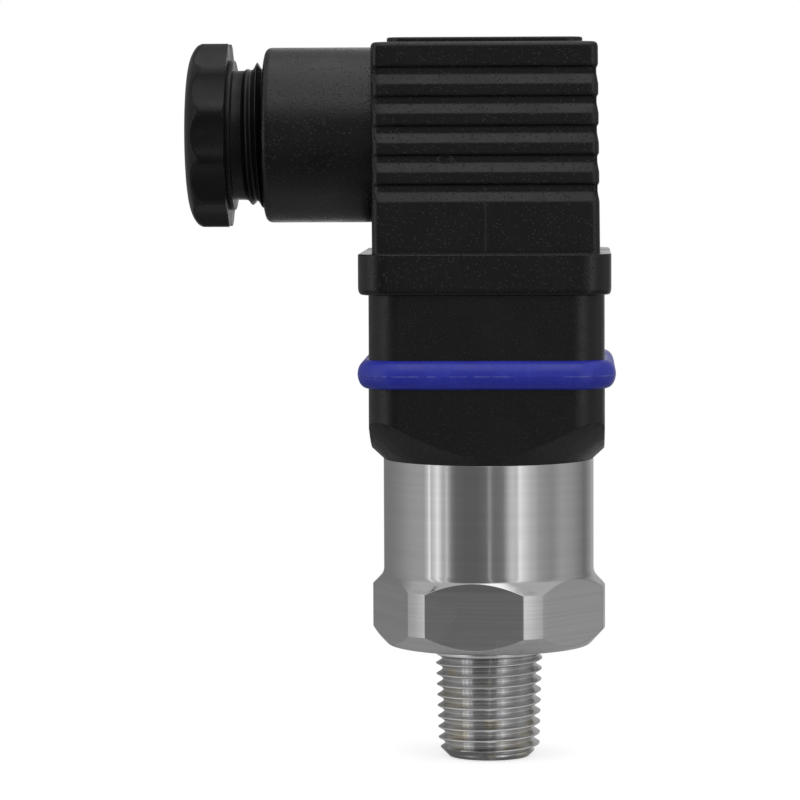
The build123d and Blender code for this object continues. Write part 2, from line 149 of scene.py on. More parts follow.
def ease(tree, value, low, high, start=0.0, end=1.0):
    """Smooth step: start below low, end above high, and a soft S curve between them."""
    node = wire(tree, "ShaderNodeMapRange", {"interpolation_type": "SMOOTHSTEP"},
                Value=value, From_Min=low, From_Max=high, To_Min=start, To_Max=end)
    return node.outputs["Result"]


def blend_colours(tree, share, first, second):
    """First colour where the share is 0, second where it is 1."""
    node = wire(tree, "ShaderNodeMix", {"data_type": "RGBA"}, i0=share)
    for place, colour in ((6, first), (7, second)):
        if isinstance(colour, bpy.types.NodeSocket):
            tree.links.new(colour, node.inputs[place])
        else:
            node.inputs[place].default_value = colour
    return node.outputs[2]


# %% [markdown]
# ## The light tent
#
# Small turned metal parts are photographed in a light tent: white cloth above and behind, three
# upright strip lights on the left, a thin one beside the camera, a broad softbox on the right, one
# strip overhead, and the dark room behind the camera. The polished steel mirrors exactly that, so
# the tent decides how the case looks. Lamps could stand in for it, but a world shader that knows
# the direction is free of noise. The direction is split into an azimuth, counted from the camera
# towards the right, and a height above the horizon. `tent_walls` lists azimuth and brightness.

# %% World
world = bpy.data.worlds.new("light tent")
scene.world = world
world.use_nodes = True
tent = world.node_tree
tent.nodes.clear()
tent_walls = (
    (-180, 0.30), (-160, 0.22), (-135, 0.27), (-115, 0.34), (-93, 0.47), (-80, 0.50), (-74, 0.50),
    (-70, 0.75), (-67.5, 1.45), (-65, 0.80), (-62.5, 0.66), (-60, 0.90), (-57, 1.34), (-54, 1.0),
    (-50.5, 0.60), (-47.5, 0.62), (-45.5, 0.95), (-43.5, 0.55), (-40, 0.28), (-35, 0.19), (-24, 0.165),
    (-12, 0.165), (-2, 0.20), (0.6, 0.24), (2, 0.75), (3.4, 0.26), (9, 0.22), (17, 0.26), (20.5, 0.50),
    (26, 0.86), (30.5, 0.72), (35, 1.28), (40, 1.02), (45, 0.78), (54, 0.56), (64, 0.42), (75, 0.37),
    (88, 0.50), (105, 0.43), (121, 0.30), (131, 0.22), (142, 0.32), (158, 0.50), (180, 0.40),
)
tent_roof, roof_strip = 0.62, 1.55
strip_place, strip_edge, strip_core = 0.05, 0.30, 0.05
back_starts, back_full, back_level = 0.15, 0.75, 0.32
below_share_of_walls, below_least = 0.42, 0.01
roof_starts, roof_full = 20.0, 46.0
below_starts, below_full = -10.0, -32.0
wall_top = 2.0
way = wire(tent, "ShaderNodeSeparateXYZ", Vector=wire(tent, "ShaderNodeTexCoord").outputs["Generated"])
toward_camera = product(tent, way.outputs["Y"], -1.0)
around = sums(tent, "ARCTAN2", way.outputs["X"], toward_camera)
around = sums(tent, "ADD", sums(tent, "DIVIDE", around, 2 * math.pi), 0.5)
height = product(tent, sums(tent, "ARCSINE", way.outputs["Z"]), 180 / math.pi)
walls = wire(tent, "ShaderNodeFloatCurve", Value=around)
curve = walls.mapping.curves[0]
curve.points[0].location = (0, tent_walls[0][1] / wall_top)
curve.points[1].location = (1, tent_walls[-1][1] / wall_top)
for degrees, level in tent_walls[1:-1]:
    curve.points.new(degrees / 360 + 0.5, level / wall_top)
for point in curve.points:
    point.handle_type = "VECTOR"
walls.mapping.update()
wall_light = product(tent, walls.outputs[0], wall_top)
roof_share = ease(tent, height, roof_starts, roof_full)
off_strip = away_from(tent, way.outputs["X"], strip_place)
overhead = ease(tent, off_strip, strip_edge, strip_core, tent_roof, roof_strip)
toward_back = ease(tent, way.outputs["Y"], back_starts, back_full, 1.0, back_level)
upper = wire(tent, "ShaderNodeMix", {"data_type": "FLOAT"}, i0=roof_share, i2=wall_light,
             i3=product(tent, overhead, toward_back))
below_share = ease(tent, height, below_full, below_starts, 1.0, 0.0)
dimmed = sums(tent, "MULTIPLY_ADD", wall_light, below_share_of_walls, below_least)
tent_light = wire(tent, "ShaderNodeMix", {"data_type": "FLOAT"}, i0=below_share, i2=upper.outputs[0],
                  i3=dimmed)

# %% [markdown]
# The background has to be plain white, and the metal has to mirror white where it looks past the
# object. So the camera sees strength 1, and so do mirrored and transmitted rays wherever no panel
# of the tent stands: straight behind. Only the rays that light the object diffusely are left with
# the tent alone.

# %% White background
behind_starts, behind_full = 0.475, 0.495
level_ends, level_full = 32.0, 16.0
path = wire(tent, "ShaderNodeLightPath")
mirrored = sums(tent, "MAXIMUM", path.outputs["Is Glossy Ray"], path.outputs["Is Transmission Ray"])
from_behind = ease(tent, away_from(tent, around, 0.5), behind_starts, behind_full)
level_way = ease(tent, sums(tent, "ABSOLUTE", height), level_ends, level_full)
past_object = product(tent, mirrored, from_behind, level_way)
sees_white = sums(tent, "MAXIMUM", path.outputs["Is Camera Ray"], past_object)
light = wire(tent, "ShaderNodeMix", {"data_type": "FLOAT"}, i0=sees_white, i2=tent_light.outputs[0], i3=1.0)
sky = wire(tent, "ShaderNodeBackground", Color=(1, 1, 1, 1), Strength=light.outputs[0])
tent.links.new(sky.outputs[0], wire(tent, "ShaderNodeOutputWorld").inputs[0])
print("tent panels", len(tent_walls))

# %% [markdown]
# ## The floor
#
# The object stands on its thread on a plain pale board. The board is small, so that the case and
# the hexagon mirror the tent's walls and not a floor. Seen directly it is white and holds a soft
# shadow. The object mirrors it too, with painted shade on it: darker near the foot, a painted shadow
# of the object, and darker towards the rim. Light that it throws up onto the object is that of a grey
# board, which keeps the undersides dark.

# %% Floor
def flat_disc(name, radius, level, columns=96):
    """Fan: rim points at radius times (cos, sin) of equal angles, joined to the centre."""
    turn = np.arange(columns) * 2 * np.pi / columns
    rim = np.stack([radius * np.cos(turn), radius * np.sin(turn), np.full(columns, level)], 1)
    points = np.vstack([[[0, 0, level]], rim])
    index = np.arange(columns)
    faces = np.stack([np.zeros(columns, int), 1 + index, 1 + (index + 1) % columns], 1)
    mesh = bpy.data.meshes.new(name)
    mesh.from_pydata(points.tolist(), [], faces.tolist())
    disc = bpy.data.objects.new(name, mesh)
    scene.collection.objects.link(disc)
    return disc


floor_radius, floor_drop = 0.085, 0.0001
shade_starts, shade_ends, painted_foot_shade_level, open_level = 0.008, 0.016, 0.04, 0.26
rim_starts, rim_ends, rim_share = 0.022, 0.040, 0.35
floor = flat_disc("floor", floor_radius, cad_low.z - floor_drop)
board = bpy.data.materials.new("pale_board")
board.use_nodes = True
tree = board.node_tree
tree.nodes.clear()
path = wire(tree, "ShaderNodeLightPath")
mirrored = sums(tree, "MAXIMUM", path.outputs["Is Glossy Ray"], path.outputs["Is Transmission Ray"])
spot = wire(tree, "ShaderNodeTexCoord").outputs["Object"]
paper = wire(tree, "ShaderNodeTexNoise", {"noise_dimensions": "3D"}, Vector=spot, Scale=900.0, Detail=3.0)
seen_colour = blend_colours(tree, paper.outputs["Fac"], (0.88, 0.88, 0.88, 1), (0.91, 0.91, 0.91, 1))
pale = wire(tree, "ShaderNodeBsdfDiffuse", Color=seen_colour)
lift = wire(tree, "ShaderNodeEmission", Strength=0.62)
both = wire(tree, "ShaderNodeAddShader", i0=pale.outputs[0], i1=lift.outputs[0])
grey = wire(tree, "ShaderNodeBsdfDiffuse", Color=(0.22, 0.22, 0.22, 1))
from_axis = length(tree, spot)
# Painted shadow: for mirrored rays the board is painted darker near the foot and towards the rim.
near = ease(tree, from_axis, shade_starts, shade_ends, painted_foot_shade_level, open_level)
painted_rim_shade = ease(tree, from_axis, rim_starts, rim_ends, 1.0, rim_share)
seen = sums(tree, "MAXIMUM", path.outputs["Is Camera Ray"], product(tree, mirrored, near, painted_rim_shade))
clear = wire(tree, "ShaderNodeBsdfTransparent")
unseen = wire(tree, "ShaderNodeMixShader", Fac=mirrored, i1=grey.outputs[0], i2=clear.outputs[0])
mixed = wire(tree, "ShaderNodeMixShader", Fac=seen, i1=unseen.outputs[0], i2=both.outputs[0])
tree.links.new(mixed.outputs[0], wire(tree, "ShaderNodeOutputMaterial").inputs[0])
floor.data.materials.append(board)
print("floor radius m", floor_radius)

# %% [markdown]
# ## Surfaces as grids
#
# Nearly every piece here is turned or moulded, so its surface is a grid: rows run along the
# profile, columns run around it. numpy works out all the points at once. The rows and columns that
# meet at a seam or a pole are merged, and the signed volume tells whether the faces look outwards.

# %% Grid to mesh
merge_gap, sliver = 4e-7, 1e-8


def mend(mesh, gap, least_edge=None, flat_angle=None, face_out=False):
    """Merge close points and, if asked, drop slivers, join flat faces and turn faces out.

    The result is the number of edges that don't lie between two faces.
    """
    work = bmesh.new()
    work.from_mesh(mesh)
    bmesh.ops.remove_doubles(work, verts=work.verts, dist=gap)
    if least_edge:
        bmesh.ops.dissolve_degenerate(work, edges=work.edges, dist=least_edge)
    if flat_angle:
        bmesh.ops.dissolve_limit(work, angle_limit=flat_angle, verts=work.verts, edges=work.edges)
    if face_out:
        bmesh.ops.recalc_face_normals(work, faces=work.faces)
    open_edges = sum(1 for edge in work.edges if len(edge.link_faces) != 2)
    work.to_mesh(mesh)
    work.free()
    return open_edges


def outward(mesh):
    """Turn the faces outwards: the sum of a . (b x c) over the triangles is six times the volume."""
    mesh.calc_loop_triangles()
    corners = np.empty(len(mesh.loop_triangles) * 3, int)
    mesh.loop_triangles.foreach_get("vertices", corners)
    places = np.empty(len(mesh.vertices) * 3)
    mesh.vertices.foreach_get("co", places)
    a, b, c = np.moveaxis(places.reshape(-1, 3)[corners.reshape(-1, 3)], 1, 0)
    volume = np.einsum("ij,ij->i", a, np.cross(b, c)).sum() / 6
    if volume < 0:
        mesh.flip_normals()
    return abs(volume)


def grid_piece(name, points, close_rows=False, close_columns=False):
    """Piece from rows of points in millimetres. Cell (i, j) joins its four neighbours on the grid."""
    rows, columns = points.shape[:2]
    i, j = np.meshgrid(np.arange(rows if close_rows else rows - 1),
                       np.arange(columns if close_columns else columns - 1), indexing="ij")
    i, j = i.ravel(), j.ravel()
    down, right = (i + 1) % rows, (j + 1) % columns
    faces = np.stack([i * columns + j, i * columns + right, down * columns + right, down * columns + j], 1)
    mesh = bpy.data.meshes.new(name)
    mesh.from_pydata((points.reshape(-1, 3) * MM).tolist(), [], faces.tolist())
    open_edges = mend(mesh, merge_gap, sliver)
    volume = outward(mesh)
    mesh.shade_smooth()
    piece = bpy.data.objects.new(name, mesh)
    scene.collection.objects.link(piece)
    print(name, "faces", len(mesh.polygons), "open edges", open_edges, "cm3", round(volume * 1e6, 3))
    return piece


# %% [markdown]
# ## Rounded profiles
#
# No edge on a real part is perfectly sharp, and the thin bright line on an edge is what makes it
# look solid. A Bevel modifier could do it, but on a dense grid it is slow. Here every corner of the
# profile gives way to a short curve before the surface is made.

# %% Rounded paths
def rounded_path(corners, radii, steps=4, closed=True):
    """Corners [k, columns, n] become curves (1-t)^2 A + 2t(1-t) P + t^2 B.

    P is the corner, A and B lie on its two runs at the given distance, never past 0.48 of a run.
    The distance along a run uses the first two coordinates only.
    """
    corners = np.asarray(corners, float)
    before, after = np.roll(corners, 1, 0), np.roll(corners, -1, 0)
    reach = np.asarray(radii, float)[:, None]

    def toward(other):
        """Point on the run to the other corner, at the reach."""
        run = np.linalg.norm((other - corners)[..., :2], axis=-1)
        share = np.minimum(reach / np.maximum(run, 1e-9), 0.48)[..., None]
        return corners + (other - corners) * share

    t = np.linspace(0, 1, steps + 1)[:, None, None, None]
    curve = (1 - t) ** 2 * toward(before) + 2 * t * (1 - t) * corners + t**2 * toward(after)
    if not closed:
        curve[:, 0], curve[:, -1] = corners[0], corners[-1]
    return np.moveaxis(curve, 0, 1).reshape(-1, *corners.shape[1:])


def constant(values, columns):
    """The same profile points in every column."""
    return np.repeat(np.asarray(values, float)[:, None, :], columns, 1)


def spun(profile, turn, about="Z", level=0.0):
    """Turn (radius, height) rows about the upright axis, or about the gland's level axis."""
    radius, along = profile[..., 0], profile[..., 1]
    c, s = radius * np.cos(turn), radius * np.sin(turn)
    if about == "Z":
        return np.stack([c, s, along], -1)
    return np.stack([along, c, level + s], -1)


def even_normals(piece, angle=38):
    """Mark edges sharp past the angle and let the large faces decide how the small ones shade."""
    piece.data.set_sharp_from_angle(angle=math.radians(angle))
    weighted = piece.modifiers.new("even normals", "WEIGHTED_NORMAL")
    weighted.keep_sharp = True
    weighted.weight = 60


# %% [markdown]
# ## A screw thread as one surface
#
# A real thread is one long ridge that climbs a pitch in each turn. Rings stacked on each other look
# wrong at the ends and in the highlights. In the grid, each row climbs with the angle: height =
# (row + angle / full turn) x pitch, held between the two ends. A row that leaves the seam at a full
# turn is the row one pitch further on at the start, so the seam closes when doubles are merged.

# %% Thread rows
thread_phases = np.array([0, 0.035, 0.08, 0.14, 0.21, 0.28, 0.33, 0.38, 0.43, 0.47, 0.5, 0.53, 0.57,
                          0.62, 0.67, 0.72, 0.79, 0.86, 0.92, 0.965])
crest_flat, flank_slope = 0.07, 1.37


def flank(phase):
    """Depth share over one pitch: 0 on the narrow crest, a straight flank, and a round root at 1.

    With d the distance to the crest in half pitches, the flank is slope x (d - flat). Past the join it
    is 1 - slope (1 - d)^2 / (2 (1 - join)), which meets the flank without a kink.
    """
    d = np.abs((phase + 0.5) % 1.0 - 0.5) * 2
    join = 2 * (1 / flank_slope - 0.5 + crest_flat)
    straight = flank_slope * (d - crest_flat)
    root = 1 - flank_slope * (1 - d) ** 2 / (2 * (1 - join))
    return np.clip(np.where(d < join, straight, root), 0, 1)


def thread_rows(start, end, pitch, turn, radius, shift=0.0):
    """Rows (radius, along) of a right-handed thread between two ends of the shank."""
    whole = np.arange(math.ceil((end - start) / pitch) + 3)
    steps = (whole[:, None] + thread_phases).ravel()[:, None] - 2 + shift
    along = np.clip(start + (steps + turn / (2 * np.pi)) * pitch, start, end)
    phase = (along - start) / pitch - turn / (2 * np.pi) - shift
    return np.stack([radius(along, flank(phase)), along], -1)


# %% [markdown]
# ## The steel body
#
# Thread, hexagon and case are turned and milled from one bar. The hexagon's corners are turned off
# to a round band, and a cone breaks its top and bottom, which leaves the curved arcs on the flats.
# So its edge is no straight line: for each angle the side's radius is the smaller of flat and band,
# and the cone's height follows from that radius. The two grids, thread and rest, share one loop.

# %% Sizes of the steel body
thread_length, thread_end_radius, radius_gain = 13.4, 6.42, 1 / 32
thread_pitch, thread_depth, thread_start, shank_over = 1.368, 0.8, 0.85, 0.4
fade_before, fade_run, end_slope = 1.0, 1.3, 0.97
end_face_radius, neck_radius, port_radius, port_bevel = 5.2, 6.9, 2.0, 0.4
hex_bottom, hex_top, case_top = 14.45, 23.6, 38.3
hex_flat, hex_round, hex_face = 13.5, 14.85, 12.9
lower_bevel, upper_bevel, hex_turn = 2.1, 1.52, math.radians(-6.7)
case_radius, case_bore, pocket_radius = 13.4, 11.8, 9.2
cell_bottom, carrier_bottom = 18.55, 27.15
seal_groove = (6.1, 8.3, 1.6)


def hexagon_columns(per_flat=18, per_band=6):
    """Angles around the hexagon, close together where a flat meets a round band."""
    edge = math.acos(hex_flat / hex_round)
    near = np.radians([-1.0, -0.45, -0.15, 0.15, 0.45, 1.0])
    flat = np.linspace(-edge, edge, per_flat + 1)[1:-1]
    band = np.linspace(edge, math.pi / 3 - edge, per_band + 1)[1:-1]
    one = np.sort(np.concatenate([flat, band, edge + near, math.pi / 3 - edge + near]))
    one = one[(one >= -edge) & (one < math.pi / 3 - edge)]
    whole = (one + (np.arange(6) * math.pi / 3)[:, None]).ravel()
    return np.append(whole, whole[0] + 2 * math.pi) + hex_turn - math.pi / 2


def hexagon_side(turn):
    """Radius of the hexagon: soft minimum of flat / cos(angle to the flat) and the round band."""
    offset = (turn + math.pi / 2 - hex_turn + math.pi / 6) % (math.pi / 3) - math.pi / 6
    flat = hex_flat / np.cos(offset)
    soft = 0.012
    gap = flat - hex_round
    return (flat + hex_round - np.sqrt(gap**2 + soft**2)) / 2


# %% [markdown]
# The thread tapers: its crest grows by a 32nd of the length. A bevel cuts its first turns at the end
# face, and the last ones fade out where the tool left the work. All three are limits on one radius.
# The loop then runs from the port round the outside to the case's pocket and back to the port.

# %% Steel body
def thread_radius(along, depth):
    """Tapered crest less the thread's depth, cut by the end bevel and fading out at the neck."""
    crest = thread_end_radius + along * radius_gain
    fade = np.clip((along - (thread_length - fade_before)) / fade_run, 0, 1)
    fade = fade * fade * (3 - 2 * fade)
    crest = crest + (neck_radius - crest) * fade
    cut = crest - thread_depth * depth * (1 - fade)
    return np.minimum(cut, end_face_radius + along * end_slope)


def steel_body():
    """Closed loop of rows: port, end face, thread, neck, hexagon, case, pocket and back."""
    turn = hexagon_columns()
    columns = len(turn)
    side = hexagon_side(turn)
    share = (side - hex_face) / (hex_round - hex_face)
    low = hex_bottom + lower_bevel * share
    high = hex_top - upper_bevel * (side - case_radius) / (hex_round - case_radius)
    start = constant([(port_radius, cell_bottom - 0.3), (port_radius, port_bevel),
                      (port_radius + port_bevel, 0), (end_face_radius, 0)], columns)
    start = rounded_path(start, (0, 0.15, 0.12, 0), 3, closed=False)
    neck = thread_length + shank_over
    shank = thread_rows(0.0, neck, thread_pitch, turn - turn[0], thread_radius, thread_start)
    rest = constant([
        (neck_radius, neck), (neck_radius, hex_bottom), (hex_face, hex_bottom), (0, 0), (0, 0),
        (case_radius, hex_top), (case_radius, case_top), (case_bore, case_top), (case_bore, carrier_bottom),
        (pocket_radius, carrier_bottom), (pocket_radius, cell_bottom), (seal_groove[1], cell_bottom),
        (seal_groove[1], cell_bottom - seal_groove[2]), (seal_groove[0], cell_bottom - seal_groove[2]),
        (seal_groove[0], cell_bottom), (port_radius, cell_bottom), (port_radius, cell_bottom - 0.3),
    ], columns)
    rest[3] = np.stack([side, low], -1)
    rest[4] = np.stack([side, high], -1)
    radii = (0, 0.35, 0.25, 0.10, 0.08, 0.65, 0.12, 0.12, 0.1, 0.1, 0.1, 0.1, 0.2, 0.2, 0.1, 0.1, 0)
    rest = rounded_path(rest, radii, 4, closed=False)
    loop = np.concatenate([start, shank, rest])
    return grid_piece("steel_body", spun(loop, turn))


steel_body_piece = steel_body()
even_normals(steel_body_piece, 60)
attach(steel_body_piece, "transmitter")
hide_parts("sensor_body")

# %% [markdown]
# ## The gland screw
#
# The gland screw is a hollow moulded screw with a domed, fluted head. Each flute is a shallow round
# groove, parallel to the axis, with a narrow land left between two of them. On the dome the flutes
# run out in scallops. That comes by itself when the lathe's radius is the smaller of the dome and
# the flute: seen along the axis, a flute is an arc of radius q about a centre c outside the head,
# so its radius at angle a is c cos a - sqrt(q^2 - c^2 sin^2 a).

# %% Gland screw
gland_level = 79.4
head_outer, head_inner, head_radius = -37.87, -32.72, 11.95
dome_radial, dome_axial, gland_pitch = 3.7, 2.3, 1.411
disc_inner, disc_radius, neck_inner, gland_neck = -32.12, 9.5, -30.92, 8.2
screw_inner, crest_radius, cable_bore, mouth_bevel = -22.7, 9.22, 5.5, 1.2
flutes, flute_depth, flute_radius, land_softness, per_flute = 12, 0.75, 7.5, 0.14, 22
gland_thread_depth, gland_thread_start, rise_run, lead_run, lead_drop = 0.86, 0.92, 1.5, 0.5, 0.55


def flute_side(turn):
    """Radius of the fluted side, softened where a flute meets its land."""
    offset = (turn + math.pi / flutes) % (2 * math.pi / flutes) - math.pi / flutes
    centre = head_radius - flute_depth + flute_radius
    flute = centre * np.cos(offset) - np.sqrt(flute_radius**2 - (centre * np.sin(offset)) ** 2)
    gap = flute - head_radius
    return (flute + head_radius - np.sqrt(gap**2 + land_softness**2)) / 2


def gland_thread_radius(along, depth):
    """Thread that rises out of the neck over the first turn and keeps its full height after it."""
    rise = np.clip((along - neck_inner) / rise_run, 0, 1)
    crest = gland_neck + (crest_radius - gland_neck) * rise
    root = crest - gland_thread_depth * depth * rise
    lead_in = np.clip((screw_inner - along) / lead_run, 0, 1)
    return np.minimum(root, crest_radius - lead_drop * (1 - lead_in))


# %% [markdown]
# The screw's rows run from the mouth over the dome to the disc behind the head, along the thread
# and back through the bore. The dome needs even steps in its angle, because a single rounded corner
# would be too flat in the middle, so it is a quarter oval of its own.

# %% Body of the gland screw
def gland_screw_body():
    """Closed loop of rows: mouth, dome, head, disc, neck, thread, inner end and bore.

    The dome is a quarter oval: radius = head - radial x (1 - sin a), place = outer + axial x (1 - cos a).
    """
    turn = np.linspace(0, 2 * math.pi, flutes * per_flute + 1)
    columns = len(turn)
    mouth = constant([
        (cable_bore, head_outer + mouth_bevel), (cable_bore + mouth_bevel, head_outer),
        (head_radius - dome_radial, head_outer),
    ], columns)
    lean = np.linspace(0, math.pi / 2, 16)[1:]
    oval = constant(np.stack([head_radius - dome_radial * (1 - np.sin(lean)),
                              head_outer + dome_axial * (1 - np.cos(lean))], 1), columns)
    rim = constant([(head_radius, head_outer + dome_axial), (head_radius, head_inner),
                    (disc_radius, head_inner)], columns)
    dome = np.concatenate([rounded_path(mouth, (0, 0.3, 0), 5, closed=False), oval,
                           rounded_path(rim, (0, 0.28, 0), 8, closed=False)])
    dome[..., 0] = np.minimum(dome[..., 0], flute_side(turn))
    dome[-1] = rim[-1]
    collar = constant([
        (disc_radius - 0.6, head_inner), (disc_radius, head_inner), (disc_radius, disc_inner),
        (gland_neck, disc_inner), (gland_neck, neck_inner)], columns)
    collar = rounded_path(collar, (0, 0.05, 0.12, 0.1, 0), 4, closed=False)[5:]
    shank = thread_rows(neck_inner, screw_inner, gland_pitch, turn, gland_thread_radius, gland_thread_start)
    inner = constant([
        (crest_radius - lead_drop, screw_inner), (cable_bore, screw_inner),
        (cable_bore, head_outer + mouth_bevel),
    ], columns)
    inner = rounded_path(inner, (0, 0.3, 0), 4, closed=False)
    loop = np.concatenate([dome, collar, shank, inner])
    return grid_piece("gland_screw_body", spun(loop, turn, "X", gland_level))


gland_screw_piece = gland_screw_body()
even_normals(gland_screw_piece, 50)
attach(gland_screw_piece, "gland_screw")
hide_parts("gland_screw")

# %% [markdown]
# ## Rounded squares
#
# The base, the seal, the contact block and the housing are squares with round corners. One function
# gives their outline for whole arrays of sizes: four arcs about (half - corner), joined by straight
# runs. A profile of (half width, height, corner radius) carried round it makes a whole moulding.

# %% Rounded square rows
side_marks = np.array([0.015, 0.03, 0.05, 0.08, 0.2, 0.35, 0.5, 0.65, 0.8, 0.92, 0.95, 0.97, 0.985])


def square_rows(half, level, corner, per_corner=10):
    """Rows around a rounded square: corner centre + radius x (cos, sin), then points on the run."""
    half, level, corner = (np.asarray(v, float)[:, None, None] for v in (half, level, corner))
    arc = (np.arange(4)[:, None] * 90 + np.linspace(0, 90, per_corner + 1)) * math.pi / 180
    sign_x, sign_y = np.array([1, -1, -1, 1])[:, None], np.array([1, 1, -1, -1])[:, None]
    x = sign_x * (half - corner) + corner * np.cos(arc)
    y = sign_y * (half - corner) + corner * np.sin(arc)
    run_x = x[..., -1:] + (np.roll(x, -1, 1)[..., :1] - x[..., -1:]) * side_marks
    run_y = y[..., -1:] + (np.roll(y, -1, 1)[..., :1] - y[..., -1:]) * side_marks
    x = np.concatenate([x, run_x], 2).reshape(len(half), -1)
    y = np.concatenate([y, run_y], 2).reshape(len(half), -1)
    return np.stack([x, y, np.broadcast_to(level[:, 0], x.shape)], -1)


# %% [markdown]
# ## The blue seal
#
# The seal is one silicone moulding: a flat web between base and block, with slots for the contacts,
# and a round bulge outside that laps both. The bulge is a half oval carried round the square, with
# a hair-thin ridge where the mould's halves met: out = oval + height x exp(-(distance / width)^2).

# %% Seal bulge
seal_centre, seal_half_height, seal_half_width = 49.65, 1.8, 16.15
base_top, block_bottom = 48.9, 50.4
lower_inside, upper_inside = 14.9, 14.775
seal_corner, straight_half, wall_lap = 4.0, 14.75, 0.05
ridge_drop, ridge_height, ridge_width = 0.1, 0.03, 0.05


def seal_bulge(steps=30):
    """Oval: reach x cos a outwards and half height x sin a upwards, then the inner walls."""
    a = np.linspace(-math.pi / 2, math.pi / 2, steps + 1)
    inside = lower_inside + (upper_inside - lower_inside) * (a > 0)
    out = inside + (seal_half_width - inside) * np.abs(np.cos(a))
    up = seal_centre + seal_half_height * np.sin(a)
    ridge = -ridge_drop
    out = out - ridge_height + ridge_height * np.exp(-(((up - seal_centre - ridge) / ridge_width) ** 2))
    extra = np.array([(seal_half_width - 0.005, seal_centre + ridge)])
    bulge = np.stack([out, up], -1)
    bulge = np.concatenate([bulge[bulge[:, 1] < extra[0, 1]], extra, bulge[bulge[:, 1] > extra[0, 1]]])
    inner = np.array([(upper_inside, block_bottom - wall_lap), (lower_inside, base_top + wall_lap)])
    loop = np.concatenate([bulge, inner])
    half, level = loop[:, 0], loop[:, 1]
    corner = seal_corner + (half - straight_half)
    return grid_piece("seal_bulge", square_rows(half, level, corner, 16), close_rows=True, close_columns=True)


# %% [markdown]
# The seal's web is a filled flat curve, which Blender triangulates round its slots, so no cutting is
# needed. The curve is two-dimensional, and its extrusion gives the plate its thickness.

# %% Seal web
def filled_outline(name, outlines, low, high):
    """Flat curve of several closed outlines, filled between them and drawn up to a plate."""
    shape = bpy.data.curves.new(name, "CURVE")
    shape.dimensions = "2D"
    shape.fill_mode = "BOTH"
    shape.extrude = (high - low) / 2 * MM
    for outline in outlines:
        spline = shape.splines.new("POLY")
        spline.points.add(len(outline) - 1)
        flat = np.column_stack([outline * MM, np.zeros(len(outline)), np.ones(len(outline))])
        spline.points.foreach_set("co", flat.ravel())
        spline.use_cyclic_u = True
    maker = bpy.data.objects.new(name + "_curve", shape)
    scene.collection.objects.link(maker)
    mesh = bpy.data.meshes.new_from_object(maker)
    bpy.data.objects.remove(maker)
    mesh.transform(Matrix.Translation((0, 0, (low + high) / 2 * MM)))
    open_edges = mend(mesh, merge_gap, face_out=True)
    outward(mesh)
    print(name, "faces", len(mesh.polygons), "open edges", open_edges)
    return mesh


def circle_outline(radius, count=48):
    """Points at equal angles on a circle."""
    turn = np.arange(count) * 2 * np.pi / count
    return radius * np.stack([np.cos(turn), np.sin(turn)], -1)


def slot_outline(quarter, inner=7.9, outer=10.1, half_width=3.85):
    """Rectangle on +X, turned by quarter turns."""
    box = np.array([(inner, -half_width), (outer, -half_width), (outer, half_width), (inner, half_width)])
    c, s = round(math.cos(quarter * math.pi / 2)), round(math.sin(quarter * math.pi / 2))
    return box @ np.array([(c, s), (-s, c)])


web_rim = square_rows([14.85], [0], [4.1], 16)[0][:, :2]
web_mesh = filled_outline(
    "seal_web", [web_rim, circle_outline(4.5)] + [slot_outline(q) for q in range(4)], base_top, block_bottom)
seal_piece = seal_bulge()
joined = bmesh.new()
joined.from_mesh(seal_piece.data)
joined.from_mesh(web_mesh)
joined.to_mesh(seal_piece.data)
joined.free()
seal_piece.name = "blue_seal"
seal_piece.data.shade_smooth()
even_normals(seal_piece, 40)
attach(seal_piece, "plug")
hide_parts("profile_gasket")
print("seal faces", len(seal_piece.data.polygons))

# %% [markdown]
# ## The plug housing
#
# The housing is one moulding: a collar that slips over the block, a slightly drafted box with five
# finger grooves on three sides, a raised top plate and the tube for the gland. Its inside is open
# downwards for the wiring. The whole cup, outside and inside, is one grid of rounded squares. Each
# groove has a short roof, a floor and a long ramp, as a finger pulls upwards on it.

# %% Sizes of the housing
collar_half, collar_corner, collar_bottom, collar_top = 15.75, 3.5, 59.55, 64.65
block_foot_half, housing_top, draft, box_corner = 14.15, 90.9, math.tan(math.radians(0.6)), 0.95
collar_shift, top_lean = -0.2, 0.36
plate_half, plate_corner, plate_top = 12.0, 2.0, 91.5
pocket_half, pocket_corner, shoulder = 14.775, 4.05, 62.55
cavity_half, cavity_corner, cavity_top = 12.05, 2.0, 88.5
groove_count, groove_pitch, first_groove = 5, 3.64, 88.0
groove_shape = ((-2.35, 0), (-1.1, 1), (-0.35, 1), (0.0, 0))
groove_depth, side_groove_depth = 0.5, 0.22
groove_ends, groove_fade, face_starts, lean_span = 13.95, 0.75, 12.9, 26
grooves_end = first_groove - (groove_count - 1) * groove_pitch - 2.6
corner_steps, wall_steps, foot_steps, foot_rise, top_drop = 6, 190, 6, 0.4, 2


def groove_share(level):
    """How deep the grooves are at each height, 0 to 1, averaged over a short stretch to soften it."""
    spread = np.linspace(-0.11, 0.11, 7)[:, None]
    steps = (level + spread - first_groove) / groove_pitch
    below = (steps - np.ceil(steps)) * groove_pitch
    number = -np.ceil(steps)
    depth = np.interp(below, [p[0] for p in groove_shape], [p[1] for p in groove_shape])
    return np.where((number >= 0) & (number < groove_count), depth, 0).mean(0)


# %% [markdown]
# The cup's rows run from the middle of the top plate down the outside, under the collar, and up the
# inside to the middle of the roof. Each row knows its half width, height, corner radius and shift.
# The grooves are then pressed into the finished points, fading out short of the corners.

